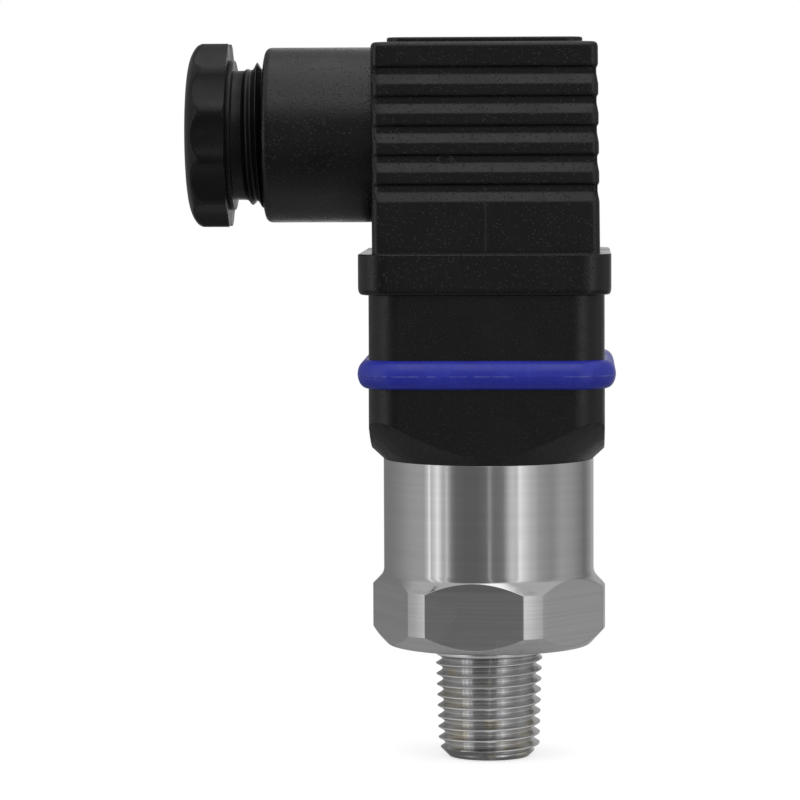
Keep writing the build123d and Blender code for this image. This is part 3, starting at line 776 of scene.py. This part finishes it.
# %% Housing cup
def housing_cup():
    """Closed surface of the cup: top plate, grooved box, collar, pocket, cavity and roof."""
    top_half = block_foot_half - (housing_top - collar_top) * draft
    bend = np.array([(0, plate_top, 0, 0), (plate_half, plate_top, plate_corner, 0),
                     (plate_half, housing_top, plate_corner, 0), (top_half, housing_top, box_corner, 0),
                     (top_half + top_drop * draft, housing_top - top_drop, box_corner, 0)])
    upper = rounded_path(bend[:, None, :], (0, 0.3, 0.08, 0.72, 0), corner_steps, closed=False)[:, 0]
    foot = collar_top + foot_rise
    level = np.concatenate([np.linspace(housing_top - top_drop, grooves_end, wall_steps)[1:],
                            np.linspace(grooves_end, foot, foot_steps)[1:]])
    wall = np.stack([block_foot_half - (level - collar_top) * draft, level, np.full(len(level), box_corner),
                     np.zeros(len(level))], -1)
    bend = np.array([(block_foot_half, foot, box_corner, 0), (block_foot_half, collar_top, box_corner, 0),
                     (collar_half, collar_top, collar_corner, collar_shift),
                     (collar_half, collar_bottom, collar_corner, collar_shift),
                     (pocket_half, collar_bottom, pocket_corner, 0),
                     (pocket_half, shoulder, pocket_corner, 0), (cavity_half, shoulder, cavity_corner, 0),
                     (cavity_half, cavity_top, cavity_corner, 0), (0, cavity_top, 0, 0)])
    radii = (0, 0.1, 0.2, 1.0, 0.15, 0.2, 0.15, 0.5, 0)
    lower = rounded_path(bend[:, None, :], radii, corner_steps, closed=False)[:, 0]
    rows = np.concatenate([upper, wall, lower[corner_steps + 1:]])
    points = square_rows(rows[:, 0], rows[:, 1], rows[:, 2], 8)
    outer = np.zeros(len(rows), bool)
    outer[len(upper):len(upper) + len(wall)] = True
    share = np.where(outer, groove_share(rows[:, 1]), 0)[:, None]
    x, y = points[..., 0].copy(), points[..., 1].copy()
    risen = np.clip((rows[:, 1:2] - collar_top) / (housing_top - collar_top), 0, 1) * (rows[:, 0:1] > 0)
    risen[len(upper) + len(wall):] = 0
    points[..., 0] += rows[:, 3:] - top_lean * risen * np.clip(0.5 - x / lean_span, 0, 1)

    def inside(v):
        """Smooth step from 0 at a groove's ends to 1 along its middle."""
        near = np.clip((groove_ends - np.abs(v)) / groove_fade, 0, 1)
        return near * near * (3 - 2 * near)

    points[..., 1] -= np.sign(y) * groove_depth * share * inside(x) * (np.abs(y) > face_starts)
    points[..., 0] -= side_groove_depth * share * inside(y) * (x > face_starts)
    return grid_piece("plug_shell", points, close_columns=True)


def lathe_piece(name, profile, radii, about="Z", level=0.0, steps=5, columns=128):
    """Closed turned piece from (radius, along) corners that start and end on the axis."""
    turn = np.linspace(0, 2 * math.pi, columns + 1)
    rows = rounded_path(constant(profile, len(turn)), radii, steps, closed=False)
    return grid_piece(name, spun(rows, turn, about, level))


# %% [markdown]
# The tube and the screw's pillar join the cup, and the gland's bore and the screw's hole are taken
# out of it. Joining and cutting closed meshes is a job for the Boolean modifier. Its result is
# applied at once, because the cutters are thrown away, and points closer than `seam_gap` are merged.

# %% Tube, pillar, bore and hole
def cut(piece, other, operation):
    """Apply one Boolean step to the piece and remove the other mesh."""
    step = piece.modifiers.new(operation.lower(), "BOOLEAN")
    step.operation = operation
    step.object = other
    step.solver = "EXACT"
    bpy.context.view_layer.update()
    done = bpy.data.meshes.new_from_object(piece.evaluated_get(bpy.context.evaluated_depsgraph_get()))
    piece.modifiers.clear()
    piece.data = done
    bpy.data.objects.remove(other)
    return piece


tube_root, tube_end, tube_radius, tube_edge, seam_gap = -13.0, -28.2, 11.1, 1.0, 0.002
housing_piece = housing_cup()
tube = lathe_piece("tube", [(0, tube_root), (tube_radius, tube_root), (tube_radius, tube_end), (0, tube_end)],
                   (0, 0, tube_edge, 0), "X", gland_level, 8)
cut(housing_piece, tube, "UNION")
bore = lathe_piece("bore", [(0, -28.9), (10.0, -28.9), (9.3, -27.95), (9.3, -13.7), (6.25, -13.7),
                            (6.25, -11.6), (0, -11.6)], (0, 0, 0.2, 0, 0, 0, 0), "X", gland_level)
cut(housing_piece, bore, "DIFFERENCE")
pillar = lathe_piece("pillar", [(0, 67.05), (3.5, 67.05), (3.5, 84.7), (4.8, 84.7), (4.8, 88.9), (0, 88.9)],
                     (0, 0.1, 0.4, 0.2, 0, 0), columns=64)
cut(housing_piece, pillar, "UNION")
screw_way = lathe_piece("screw_way", [(0, 66.5), (1.8, 66.5), (1.8, 86.2), (3.3, 86.2), (3.3, 91.3),
                                      (3.6, 92.0), (0, 92.0)], (0, 0, 0, 0, 0.2, 0, 0), columns=64)
cut(housing_piece, screw_way, "DIFFERENCE")
open_edges = mend(housing_piece.data, seam_gap * MM, seam_gap * MM)
housing_piece.name = "plug_housing_body"
housing_piece.data.shade_smooth()
even_normals(housing_piece, 32)
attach(housing_piece, "plug")
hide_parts("plug_housing")
print("housing faces", len(housing_piece.data.polygons), "open edges", open_edges)

# %% [markdown]
# ## Base and contact block
#
# These two keep the measured solid's shape. A merged copy is needed, because the frame's mesh is
# loose triangles, and loose triangles can't be softened. Flat areas become single faces first, and
# then a narrow Bevel modifier breaks the edges.

# %% Softened copies
copy_gap = 1e-6
flat_limit, sharp_angle, bevel_angle = math.radians(0.5), math.radians(25), math.radians(28)


def softened_copy(node_name, name, body, edge):
    """Merged copy of a node with planar faces joined and its edges broken by a narrow bevel."""
    mesh = frame["nodes"][node_name].data.copy()
    mesh.name = name
    open_edges = mend(mesh, copy_gap, flat_angle=flat_limit)
    mesh.materials.clear()
    piece = bpy.data.objects.new(name, mesh)
    scene.collection.objects.link(piece)
    mesh.shade_smooth()
    mesh.set_sharp_from_angle(angle=sharp_angle)
    bevel = piece.modifiers.new("broken edges", "BEVEL")
    bevel.width = edge * MM
    bevel.segments = 2
    bevel.limit_method = "ANGLE"
    bevel.angle_limit = bevel_angle
    bevel.harden_normals = False
    weighted = piece.modifiers.new("even normals", "WEIGHTED_NORMAL")
    weighted.keep_sharp = False
    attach(piece, body)
    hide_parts(node_name)
    print(name, "faces before the bevel", len(mesh.polygons), "open edges", open_edges)
    return piece


base_piece = softened_copy("connector_base", "moulded_base", "transmitter", 0.1)
block_piece = softened_copy("contact_block", "moulded_block", "plug", 0.1)

# %% [markdown]
# ## Shared effects as node groups
#
# Grain, machining marks and handling marks appear in several finishes at different scales. Each is
# one node group with named inputs, placed in a material with that material's values.

# %% Node group maker
def effect(name, inputs, outputs):
    """Empty node group with its input and output sockets, and the two end nodes."""
    group = bpy.data.node_groups.new(name, "ShaderNodeTree")
    for title, kind, value in inputs:
        socket = group.interface.new_socket(title, in_out="INPUT", socket_type=kind)
        if value is not None:
            socket.default_value = value
    for title, kind in outputs:
        group.interface.new_socket(title, in_out="OUTPUT", socket_type=kind)
    return group, group.nodes.new("NodeGroupInput"), group.nodes.new("NodeGroupOutput")


# %% [markdown]
# Spark-eroded moulds leave a fine, sparkling grain on plastic. It is many tiny craters: small cells
# of a Voronoi pattern, broken up by noise, and a few of them catch the light.

# %% Spark-eroded grain
grain, start, end = effect(
    "spark_grain", (("Vector", "NodeSocketVector", None), ("Scale", "NodeSocketFloat", 4000.0)),
    (("Height", "NodeSocketFloat"), ("Speck", "NodeSocketFloat")))
pits = wire(grain, "ShaderNodeTexNoise", Vector=start.outputs["Vector"], Scale=start.outputs["Scale"],
            Detail=3.0, Roughness=0.7)
cells = wire(grain, "ShaderNodeTexVoronoi", {"feature": "F1"}, Vector=start.outputs["Vector"],
             Scale=product(grain, start.outputs["Scale"], 0.8))
rare = wire(grain, "ShaderNodeSeparateXYZ", Vector=cells.outputs["Color"])
close = ease(grain, cells.outputs["Distance"], 0.50, 0.05)
speck = product(grain, ease(grain, rare.outputs["X"], 0.62, 0.85), close)
rough = sums(grain, "ADD", pits.outputs["Fac"], product(grain, cells.outputs["Distance"], 0.5))
grain.links.new(sums(grain, "MULTIPLY_ADD", rough, 0.40, product(grain, speck, 0.75)), end.inputs["Height"])
grain.links.new(speck, end.inputs["Speck"])

# %% [markdown]
# A turning tool leaves rings round the axis, closer than the eye can count. The pattern hardly
# changes round the piece and changes fast along it, so the coordinates are squeezed before the
# noise reads them. The same group with another squeeze makes the milling marks of the hexagon.

# %% Machining marks
marks, start, end = effect(
    "tool_marks",
    (("Vector", "NodeSocketVector", None), ("Squeeze", "NodeSocketVector", (40.0, 40.0, 6000.0))),
    (("Height", "NodeSocketFloat"), ("Streak", "NodeSocketFloat")))
squeezed = wire(marks, "ShaderNodeVectorMath", {"operation": "MULTIPLY"}, i0=start.outputs["Vector"],
                i1=start.outputs["Squeeze"])
fine = wire(marks, "ShaderNodeTexNoise", Vector=squeezed.outputs[0], Scale=1.0, Detail=4.0, Roughness=0.65)
slow = wire(marks, "ShaderNodeTexNoise", Vector=squeezed.outputs[0], Scale=0.11, Detail=2.0)
marks.links.new(fine.outputs["Fac"], end.inputs["Height"])
marks.links.new(product(marks, fine.outputs["Fac"], slow.outputs["Fac"]), end.inputs["Streak"])

# %% [markdown]
# Hands leave faint smears and pale dust. Both are slow noise with a soft threshold.

# %% Handling marks
touch, start, end = effect(
    "handling", (("Vector", "NodeSocketVector", None), ("Scale", "NodeSocketFloat", 180.0)),
    (("Smear", "NodeSocketFloat"), ("Dust", "NodeSocketFloat")))
cloud = wire(touch, "ShaderNodeTexNoise", Vector=start.outputs["Vector"], Scale=start.outputs["Scale"],
             Detail=5.0, Distortion=0.6)
motes = wire(touch, "ShaderNodeTexVoronoi", {"feature": "F1"}, Vector=start.outputs["Vector"],
             Scale=product(touch, start.outputs["Scale"], 6.0))
touch.links.new(ease(touch, cloud.outputs["Fac"], 0.42, 0.62), end.inputs["Smear"])
pick = wire(touch, "ShaderNodeSeparateXYZ", Vector=motes.outputs["Color"])
touch.links.new(product(touch, ease(touch, pick.outputs["Y"], 0.93, 0.97),
                        ease(touch, motes.outputs["Distance"], 0.16, 0.08)), end.inputs["Dust"])

# %% [markdown]
# ## Finishes
#
# `finish` starts a material with its plain values on the Principled shader's own sockets. What
# varies over the surface is linked afterwards: colour, roughness and a bump.

# %% Finish maker
def finish(name, colour, roughness, metallic=0.0):
    """Material with plain values, and the parts that the recipes below go on with."""
    material = bpy.data.materials.new(name)
    material.use_nodes = True
    tree = material.node_tree
    shader = tree.nodes["Principled BSDF"]
    shader.inputs["Base Color"].default_value = (*colour, 1)
    shader.inputs["Roughness"].default_value = roughness
    shader.inputs["Metallic"].default_value = metallic
    return material, tree, shader, wire(tree, "ShaderNodeTexCoord").outputs["Object"]


def use(tree, group, **inputs):
    """Place a node group in a tree."""
    return wire(tree, "ShaderNodeGroup", {"node_tree": group}, **inputs).outputs


def add_bump(tree, shader, height, strength, distance):
    """Bump from a height that feeds the shader's normal."""
    bump = wire(tree, "ShaderNodeBump", Height=height, Strength=strength, Distance=distance)
    tree.links.new(bump.outputs[0], shader.inputs["Normal"])


# %% [markdown]
# Black glass-filled plastic looks dark grey where it faces the light and nearly black elsewhere.
# The moulded grain scatters the light. A few specks of it are painted paler, as painted glints where
# fibres at the surface catch the light, and they are also smoother than the skin round them.

# %% Black plastics
def black_plastic(name, colour, roughness, specular, grain_scale, grain_strength, painted_glint_share, extra=None):
    """Black moulding: grain bump, specks painted pale as glints, faint smears and dust. Extra adds to the
    height.
    """
    material, tree, shader, place = finish(name, colour, roughness)
    shader.inputs["Specular IOR Level"].default_value = specular
    pits = use(tree, grain, Vector=place, Scale=grain_scale)
    hands = use(tree, touch, Vector=place)
    smeared = ease(tree, hands["Smear"], 0, 1, roughness - 0.03, roughness + 0.05)
    tree.links.new(sums(tree, "SUBTRACT", smeared, product(tree, pits["Speck"], 0.22), clamp=True),
                   shader.inputs["Roughness"])
    # Painted glints: grain specks get a much paler colour, standing in for light caught by fibres.
    pale = tuple(min(1, c * 6 + 0.01) for c in colour)
    specks = blend_colours(tree, product(tree, pits["Speck"], painted_glint_share), (*colour, 1), (*pale, 1))
    dusty = blend_colours(tree, product(tree, hands["Dust"], 0.35), specks, (0.05, 0.05, 0.048, 1))
    height = pits["Height"]
    if extra:
        mark = extra(tree, place)
        height = sums(tree, "ADD", height, mark)
        dusty = blend_colours(tree, product(tree, mark, 0.30), dusty, (0.04, 0.04, 0.042, 1))
    tree.links.new(dusty, shader.inputs["Base Color"])
    add_bump(tree, shader, height, grain_strength, 0.00010)
    return material


# %% [markdown]
# A mould leaves two marks: a hair-thin line where its halves part, and a ring where the plastic
# flowed in. A line is a band about one value of X, and a ring is a band about one distance from a
# point, with that distance squeezed along Y and Z to make it an oval.

# %% Mould marks and the four plastics
parting_x, line_outer, line_inner, line_strength = -0.02, 0.00009, 0.00003, 0.4
gate_place, gate_radius, rim_outer, rim_inner = (-5.0, -13.9, 76.35), 0.0009, 0.00016, 0.00004


def mould_marks(tree, place):
    """Hair-thin parting line down the lower front, and an oval gate mark between the grooves."""
    axes = wire(tree, "ShaderNodeSeparateXYZ", Vector=place)
    front = ease(tree, axes.outputs["Y"], -0.0130, -0.0134)
    below = ease(tree, axes.outputs["Z"], 0.0731, 0.0727)
    above = ease(tree, axes.outputs["Z"], 0.0646, 0.0649)
    beside = away_from(tree, axes.outputs["X"], parting_x * MM)
    line = product(tree, ease(tree, beside, line_outer, line_inner), below, above, line_strength)
    offset = wire(tree, "ShaderNodeVectorMath", {"operation": "SUBTRACT"}, i0=place,
                  i1=tuple(v * MM for v in gate_place))
    flat = wire(tree, "ShaderNodeVectorMath", {"operation": "MULTIPLY"}, i0=offset.outputs[0],
                i1=(1, 0.3, 1.9))
    rim = away_from(tree, length(tree, flat.outputs[0]), gate_radius)
    return product(tree, sums(tree, "MAXIMUM", line, ease(tree, rim, rim_outer, rim_inner)), front)


housing_plastic = black_plastic("housing_plastic", (0.0030, 0.0030, 0.0038), 0.27, 0.50, 4700.0, 0.60, 0.25,
                                mould_marks)
black_moulding = black_plastic("black_plastic", (0.0045, 0.0045, 0.0055), 0.32, 0.46, 5600.0, 0.40, 0.20)
gland_plastic = black_plastic("gland_plastic", (0.0084, 0.0084, 0.0090), 0.30, 0.27, 4200.0, 0.22, 0.20)
smooth_moulding = black_plastic("smooth_plastic", (0.0050, 0.0050, 0.0056), 0.34, 0.27, 3000.0, 0.06, 0.10)

# %% [markdown]
# Silicone is soft and slightly see-through, so the light goes a little way in. Its skin is
# matt with tiny pale specks, and the parting ridge shows as a broken whitish line.

# %% Blue silicone
blue_silicone, tree, shader, place = finish("blue_silicone", (0.031, 0.045, 0.54), 0.36)
shader.inputs["Subsurface Weight"].default_value = 0.08
shader.inputs["Subsurface Radius"].default_value = (0.2, 0.25, 1.0)
shader.inputs["Subsurface Scale"].default_value = 0.0008
pits = use(tree, grain, Vector=place, Scale=6500.0)
hands = use(tree, touch, Vector=place, Scale=260.0)
axes = wire(tree, "ShaderNodeSeparateXYZ", Vector=place)
off_ridge = away_from(tree, axes.outputs["Z"], (seal_centre - ridge_drop) * MM)
broken = wire(tree, "ShaderNodeTexNoise", Vector=place, Scale=900.0, Detail=2.0)
ridge = product(tree, ease(tree, off_ridge, 0.00010, 0.00003), ease(tree, broken.outputs["Fac"], 0.42, 0.62))
deep = blend_colours(tree, hands["Smear"], (0.028, 0.041, 0.51, 1), (0.035, 0.050, 0.57, 1))
specked = blend_colours(tree, product(tree, pits["Speck"], 0.35), deep, (0.20, 0.24, 0.70, 1))
lined = blend_colours(tree, product(tree, ridge, 0.32), specked, (0.36, 0.40, 0.78, 1))
tree.links.new(lined, shader.inputs["Base Color"])
tree.links.new(ease(tree, hands["Smear"], 0, 1, 0.34, 0.46), shader.inputs["Roughness"])
add_bump(tree, shader, pits["Height"], 0.25, 0.00004)

# %% [markdown]
# Bare metal is recognised by its tool marks. The rings of a turning tool scatter light along the
# axis only, which a bump from the squeezed noise gives.

# %% Metals
def machined(name, colour, roughness, squeeze, strength, tint, marks_share=0.25):
    """Bare metal: tool marks in bump, colour and roughness, and faint handling marks."""
    material, tree, shader, place = finish(name, colour, roughness, 1.0)
    rings = use(tree, marks, Vector=place, Squeeze=squeeze)
    hands = use(tree, touch, Vector=place, Scale=140.0)
    streaks = ease(tree, rings["Streak"], 0.12, 0.42)
    streaked = blend_colours(tree, product(tree, streaks, marks_share), (*colour, 1), (*tint, 1))
    tree.links.new(streaked, shader.inputs["Base Color"])
    tree.links.new(ease(tree, hands["Smear"], 0, 1, roughness, roughness + 0.04), shader.inputs["Roughness"])
    add_bump(tree, shader, rings["Height"], strength, 0.00002)
    return material, tree, shader, place


# %% [markdown]
# The steel body has three surfaces: the turned case, the milled hexagon, which is rougher, paler
# and lined, and the thread, which holds a little oil and has rougher crests with a painted highlight.
# Two masks tell them apart: one by height, one by how near the radius is to the thread's crest.

# %% Steel
milling_roughness, milling_strength, milling_lines, hexagon_paleness = 0.17, 3.0, 0.5, 0.5
crest_roughness, crest_outer, crest_inner = 0.30, -0.00004, -0.00008
oil_strength, speck_strength, oil_fade = 0.55, 0.8, 1.5
steel, tree, shader, place = machined("steel", (0.60, 0.60, 0.61), 0.085, (60.0, 60.0, 9000.0), 0.10,
                                      (0.46, 0.45, 0.44))
turned_colour = shader.inputs["Base Color"].links[0].from_socket
turned = shader.inputs["Roughness"].links[0].from_socket
bump = shader.inputs["Normal"].links[0].from_node
rings = bump.inputs["Height"].links[0].from_socket
level = wire(tree, "ShaderNodeSeparateXYZ", Vector=place).outputs["Z"]
on_hexagon = product(tree, ease(tree, level, hex_bottom * MM, (hex_bottom + 0.2) * MM),
                     ease(tree, level, (hex_top - 0.9) * MM, (hex_top - 1.3) * MM))
milled = use(tree, marks, Vector=place, Squeeze=(25.0, 25.0, 3600.0))["Height"]
milling = product(tree, milled, on_hexagon)
tree.links.new(sums(tree, "MULTIPLY_ADD", milling, milling_strength, rings), bump.inputs["Height"])
across = wire(tree, "ShaderNodeVectorMath", {"operation": "MULTIPLY"}, i0=place, i1=(1.0, 1.0, 0.0))
crest = sums(tree, "MULTIPLY_ADD", level, radius_gain, thread_end_radius * MM)
over_crest = sums(tree, "SUBTRACT", length(tree, across.outputs[0]), crest)
# Painted highlight: the band at the thread's crest is painted near white below, standing in for the bright
# line of light on each crest; it is also rougher.
crest_band_painted_highlight = product(tree, ease(tree, over_crest, crest_inner, crest_outer), ease(tree, level, 0.0137, 0.0134))
rougher = sums(tree, "MULTIPLY_ADD", on_hexagon, milling_roughness, turned)
tree.links.new(sums(tree, "MULTIPLY_ADD", crest_band_painted_highlight, crest_roughness, rougher), shader.inputs["Roughness"])

# %% [markdown]
# The colours go over each other from the bottom up: turned steel, paler hexagon, milling lines, the
# warm tint of oil, dark specks in it, and last the painted highlight on the crests.

# %% Colours of the steel
lines = product(tree, ease(tree, milled, 0.42, 0.62), on_hexagon, milling_lines)
oil = wire(tree, "ShaderNodeTexNoise", Vector=place, Scale=330.0, Detail=3.0)
oily = product(tree, ease(tree, oil.outputs["Fac"], 0.50, 0.66),
               ease(tree, level, thread_length * MM, (thread_length - oil_fade) * MM))
spots = wire(tree, "ShaderNodeTexVoronoi", {"feature": "F1"}, Vector=place, Scale=700.0)
chosen = wire(tree, "ShaderNodeSeparateXYZ", Vector=spots.outputs["Color"])
speck = product(tree, ease(tree, chosen.outputs["X"], 0.93, 0.96),
                ease(tree, spots.outputs["Distance"], 0.22, 0.12), oily, speck_strength)
# The last layer is a painted highlight: near-white colour on the crest band.
layers = ((product(tree, on_hexagon, hexagon_paleness), (0.68, 0.68, 0.69, 1)),
          (lines, (0.55, 0.55, 0.56, 1)), (product(tree, oily, oil_strength), (0.56, 0.52, 0.40, 1)),
          (speck, (0.10, 0.09, 0.08, 1)), (crest_band_painted_highlight, (0.92, 0.92, 0.93, 1)))
colour = turned_colour
for share, upper_colour in layers:
    colour = blend_colours(tree, share, colour, upper_colour)
tree.links.new(colour, shader.inputs["Base Color"])

# %% [markdown]
# The other metals are the same recipe with their own colour, roughness and tool marks.

# %% Other metals
steel_inner = machined("steel_inner", (0.58, 0.58, 0.58), 0.24, (60.0, 60.0, 7000.0), 0.15,
                       (0.44, 0.43, 0.42))[0]
screw_steel = machined("screw_steel", (0.64, 0.64, 0.60), 0.26, (900.0, 900.0, 3000.0), 0.12,
                       (0.52, 0.50, 0.42))[0]
tinned_contact = machined("tinned_contact", (0.70, 0.70, 0.68), 0.28, (500.0, 500.0, 1500.0), 0.12,
                          (0.56, 0.55, 0.52))[0]
contact_brass = machined("contact_brass", (0.72, 0.53, 0.25), 0.22, (500.0, 500.0, 5000.0), 0.12,
                         (0.55, 0.38, 0.18))[0]

# %% [markdown]
# The pieces inside show only when the plug is drawn off or the part is taken apart, but each still
# has its own finish: ground ceramic, solder mask over woven glass, moulded chip, fired capacitor
# and black rubber.

# %% Small finishes
def plain_grained(name, colour, second, roughness, scale, strength):
    """Matt finish with two close colours mixed by grain, and a light bump."""
    material, tree, shader, place = finish(name, colour, roughness)
    pits = use(tree, grain, Vector=place, Scale=scale)
    hands = use(tree, touch, Vector=place, Scale=300.0)
    mixed = blend_colours(tree, hands["Smear"], (*colour, 1), (*second, 1))
    tree.links.new(mixed, shader.inputs["Base Color"])
    tree.links.new(ease(tree, hands["Smear"], 0, 1, roughness, min(1, roughness + 0.08)),
                   shader.inputs["Roughness"])
    add_bump(tree, shader, pits["Height"], strength, 0.00003)
    return material


ceramic = plain_grained("ceramic", (0.86, 0.85, 0.80), (0.80, 0.79, 0.74), 0.30, 2500.0, 0.08)
board_mask = plain_grained("board", (0.03, 0.20, 0.09), (0.05, 0.26, 0.12), 0.30, 1800.0, 0.15)
chip_moulding = plain_grained("chip", (0.03, 0.03, 0.033), (0.045, 0.045, 0.048), 0.55, 5000.0, 0.20)
capacitor_body = plain_grained("capacitor", (0.45, 0.33, 0.20), (0.38, 0.27, 0.16), 0.40, 4000.0, 0.15)
seal_rubber = plain_grained("seal_rubber", (0.018, 0.018, 0.018), (0.030, 0.030, 0.030), 0.60, 3000.0, 0.20)

# %% [markdown]
# ## Dressing the pieces
#
# Each node of the frame names a slot of the record, and each slot has one finish. New pieces take
# their finish from the same table.

# %% Give out the finishes
finishes = {
    "steel": steel, "steel_inner": steel_inner, "screw_steel": screw_steel, "tinned_contact": tinned_contact,
    "contact_brass": contact_brass, "ceramic": ceramic, "board": board_mask, "chip": chip_moulding,
    "capacitor": capacitor_body, "black_plastic": black_moulding, "housing_plastic": housing_plastic,
    "gland_plastic": gland_plastic, "blue_silicone": blue_silicone, "seal_rubber": seal_rubber,
}
for row in frame["record"]["subparts"]:
    node = frame["nodes"][row["node"]]
    node.data.materials.clear()
    node.data.materials.append(finishes[row["material_slot"]])
for piece, slot in ((steel_body_piece, "steel"), (gland_screw_piece, "gland_plastic"),
                    (seal_piece, "blue_silicone"), (housing_piece, "housing_plastic"),
                    (base_piece, "black_plastic"), (block_piece, "black_plastic")):
    piece.data.materials.clear()
    piece.data.materials.append(finishes[slot])
print("finishes", len(finishes))

# %% [markdown]
# The base's cone was polished in the mould, unlike the grained sides above it. The faces that look
# down and outwards take the smoother plastic.

# %% Polished cone of the base
steepest, flattest, case_edge = -0.95, -0.4, 0.0134
base_piece.data.materials.append(smooth_moulding)
normals = np.empty(len(base_piece.data.polygons) * 3)
base_piece.data.polygons.foreach_get("normal", normals)
centres = np.empty(len(base_piece.data.polygons) * 3)
base_piece.data.polygons.foreach_get("center", centres)
tilt, place = normals.reshape(-1, 3)[:, 2], centres.reshape(-1, 3)
cone = (tilt < flattest) & (tilt > steepest) & (np.hypot(place[:, 0], place[:, 1]) > case_edge)
base_piece.data.polygons.foreach_set("material_index", cone.astype(int))
print("cone faces", int(cone.sum()))

# %% [markdown]
# ## Close
#
# The view layer is brought up to date before the scene closes.

# %% Update the view layer
bpy.context.view_layer.update()
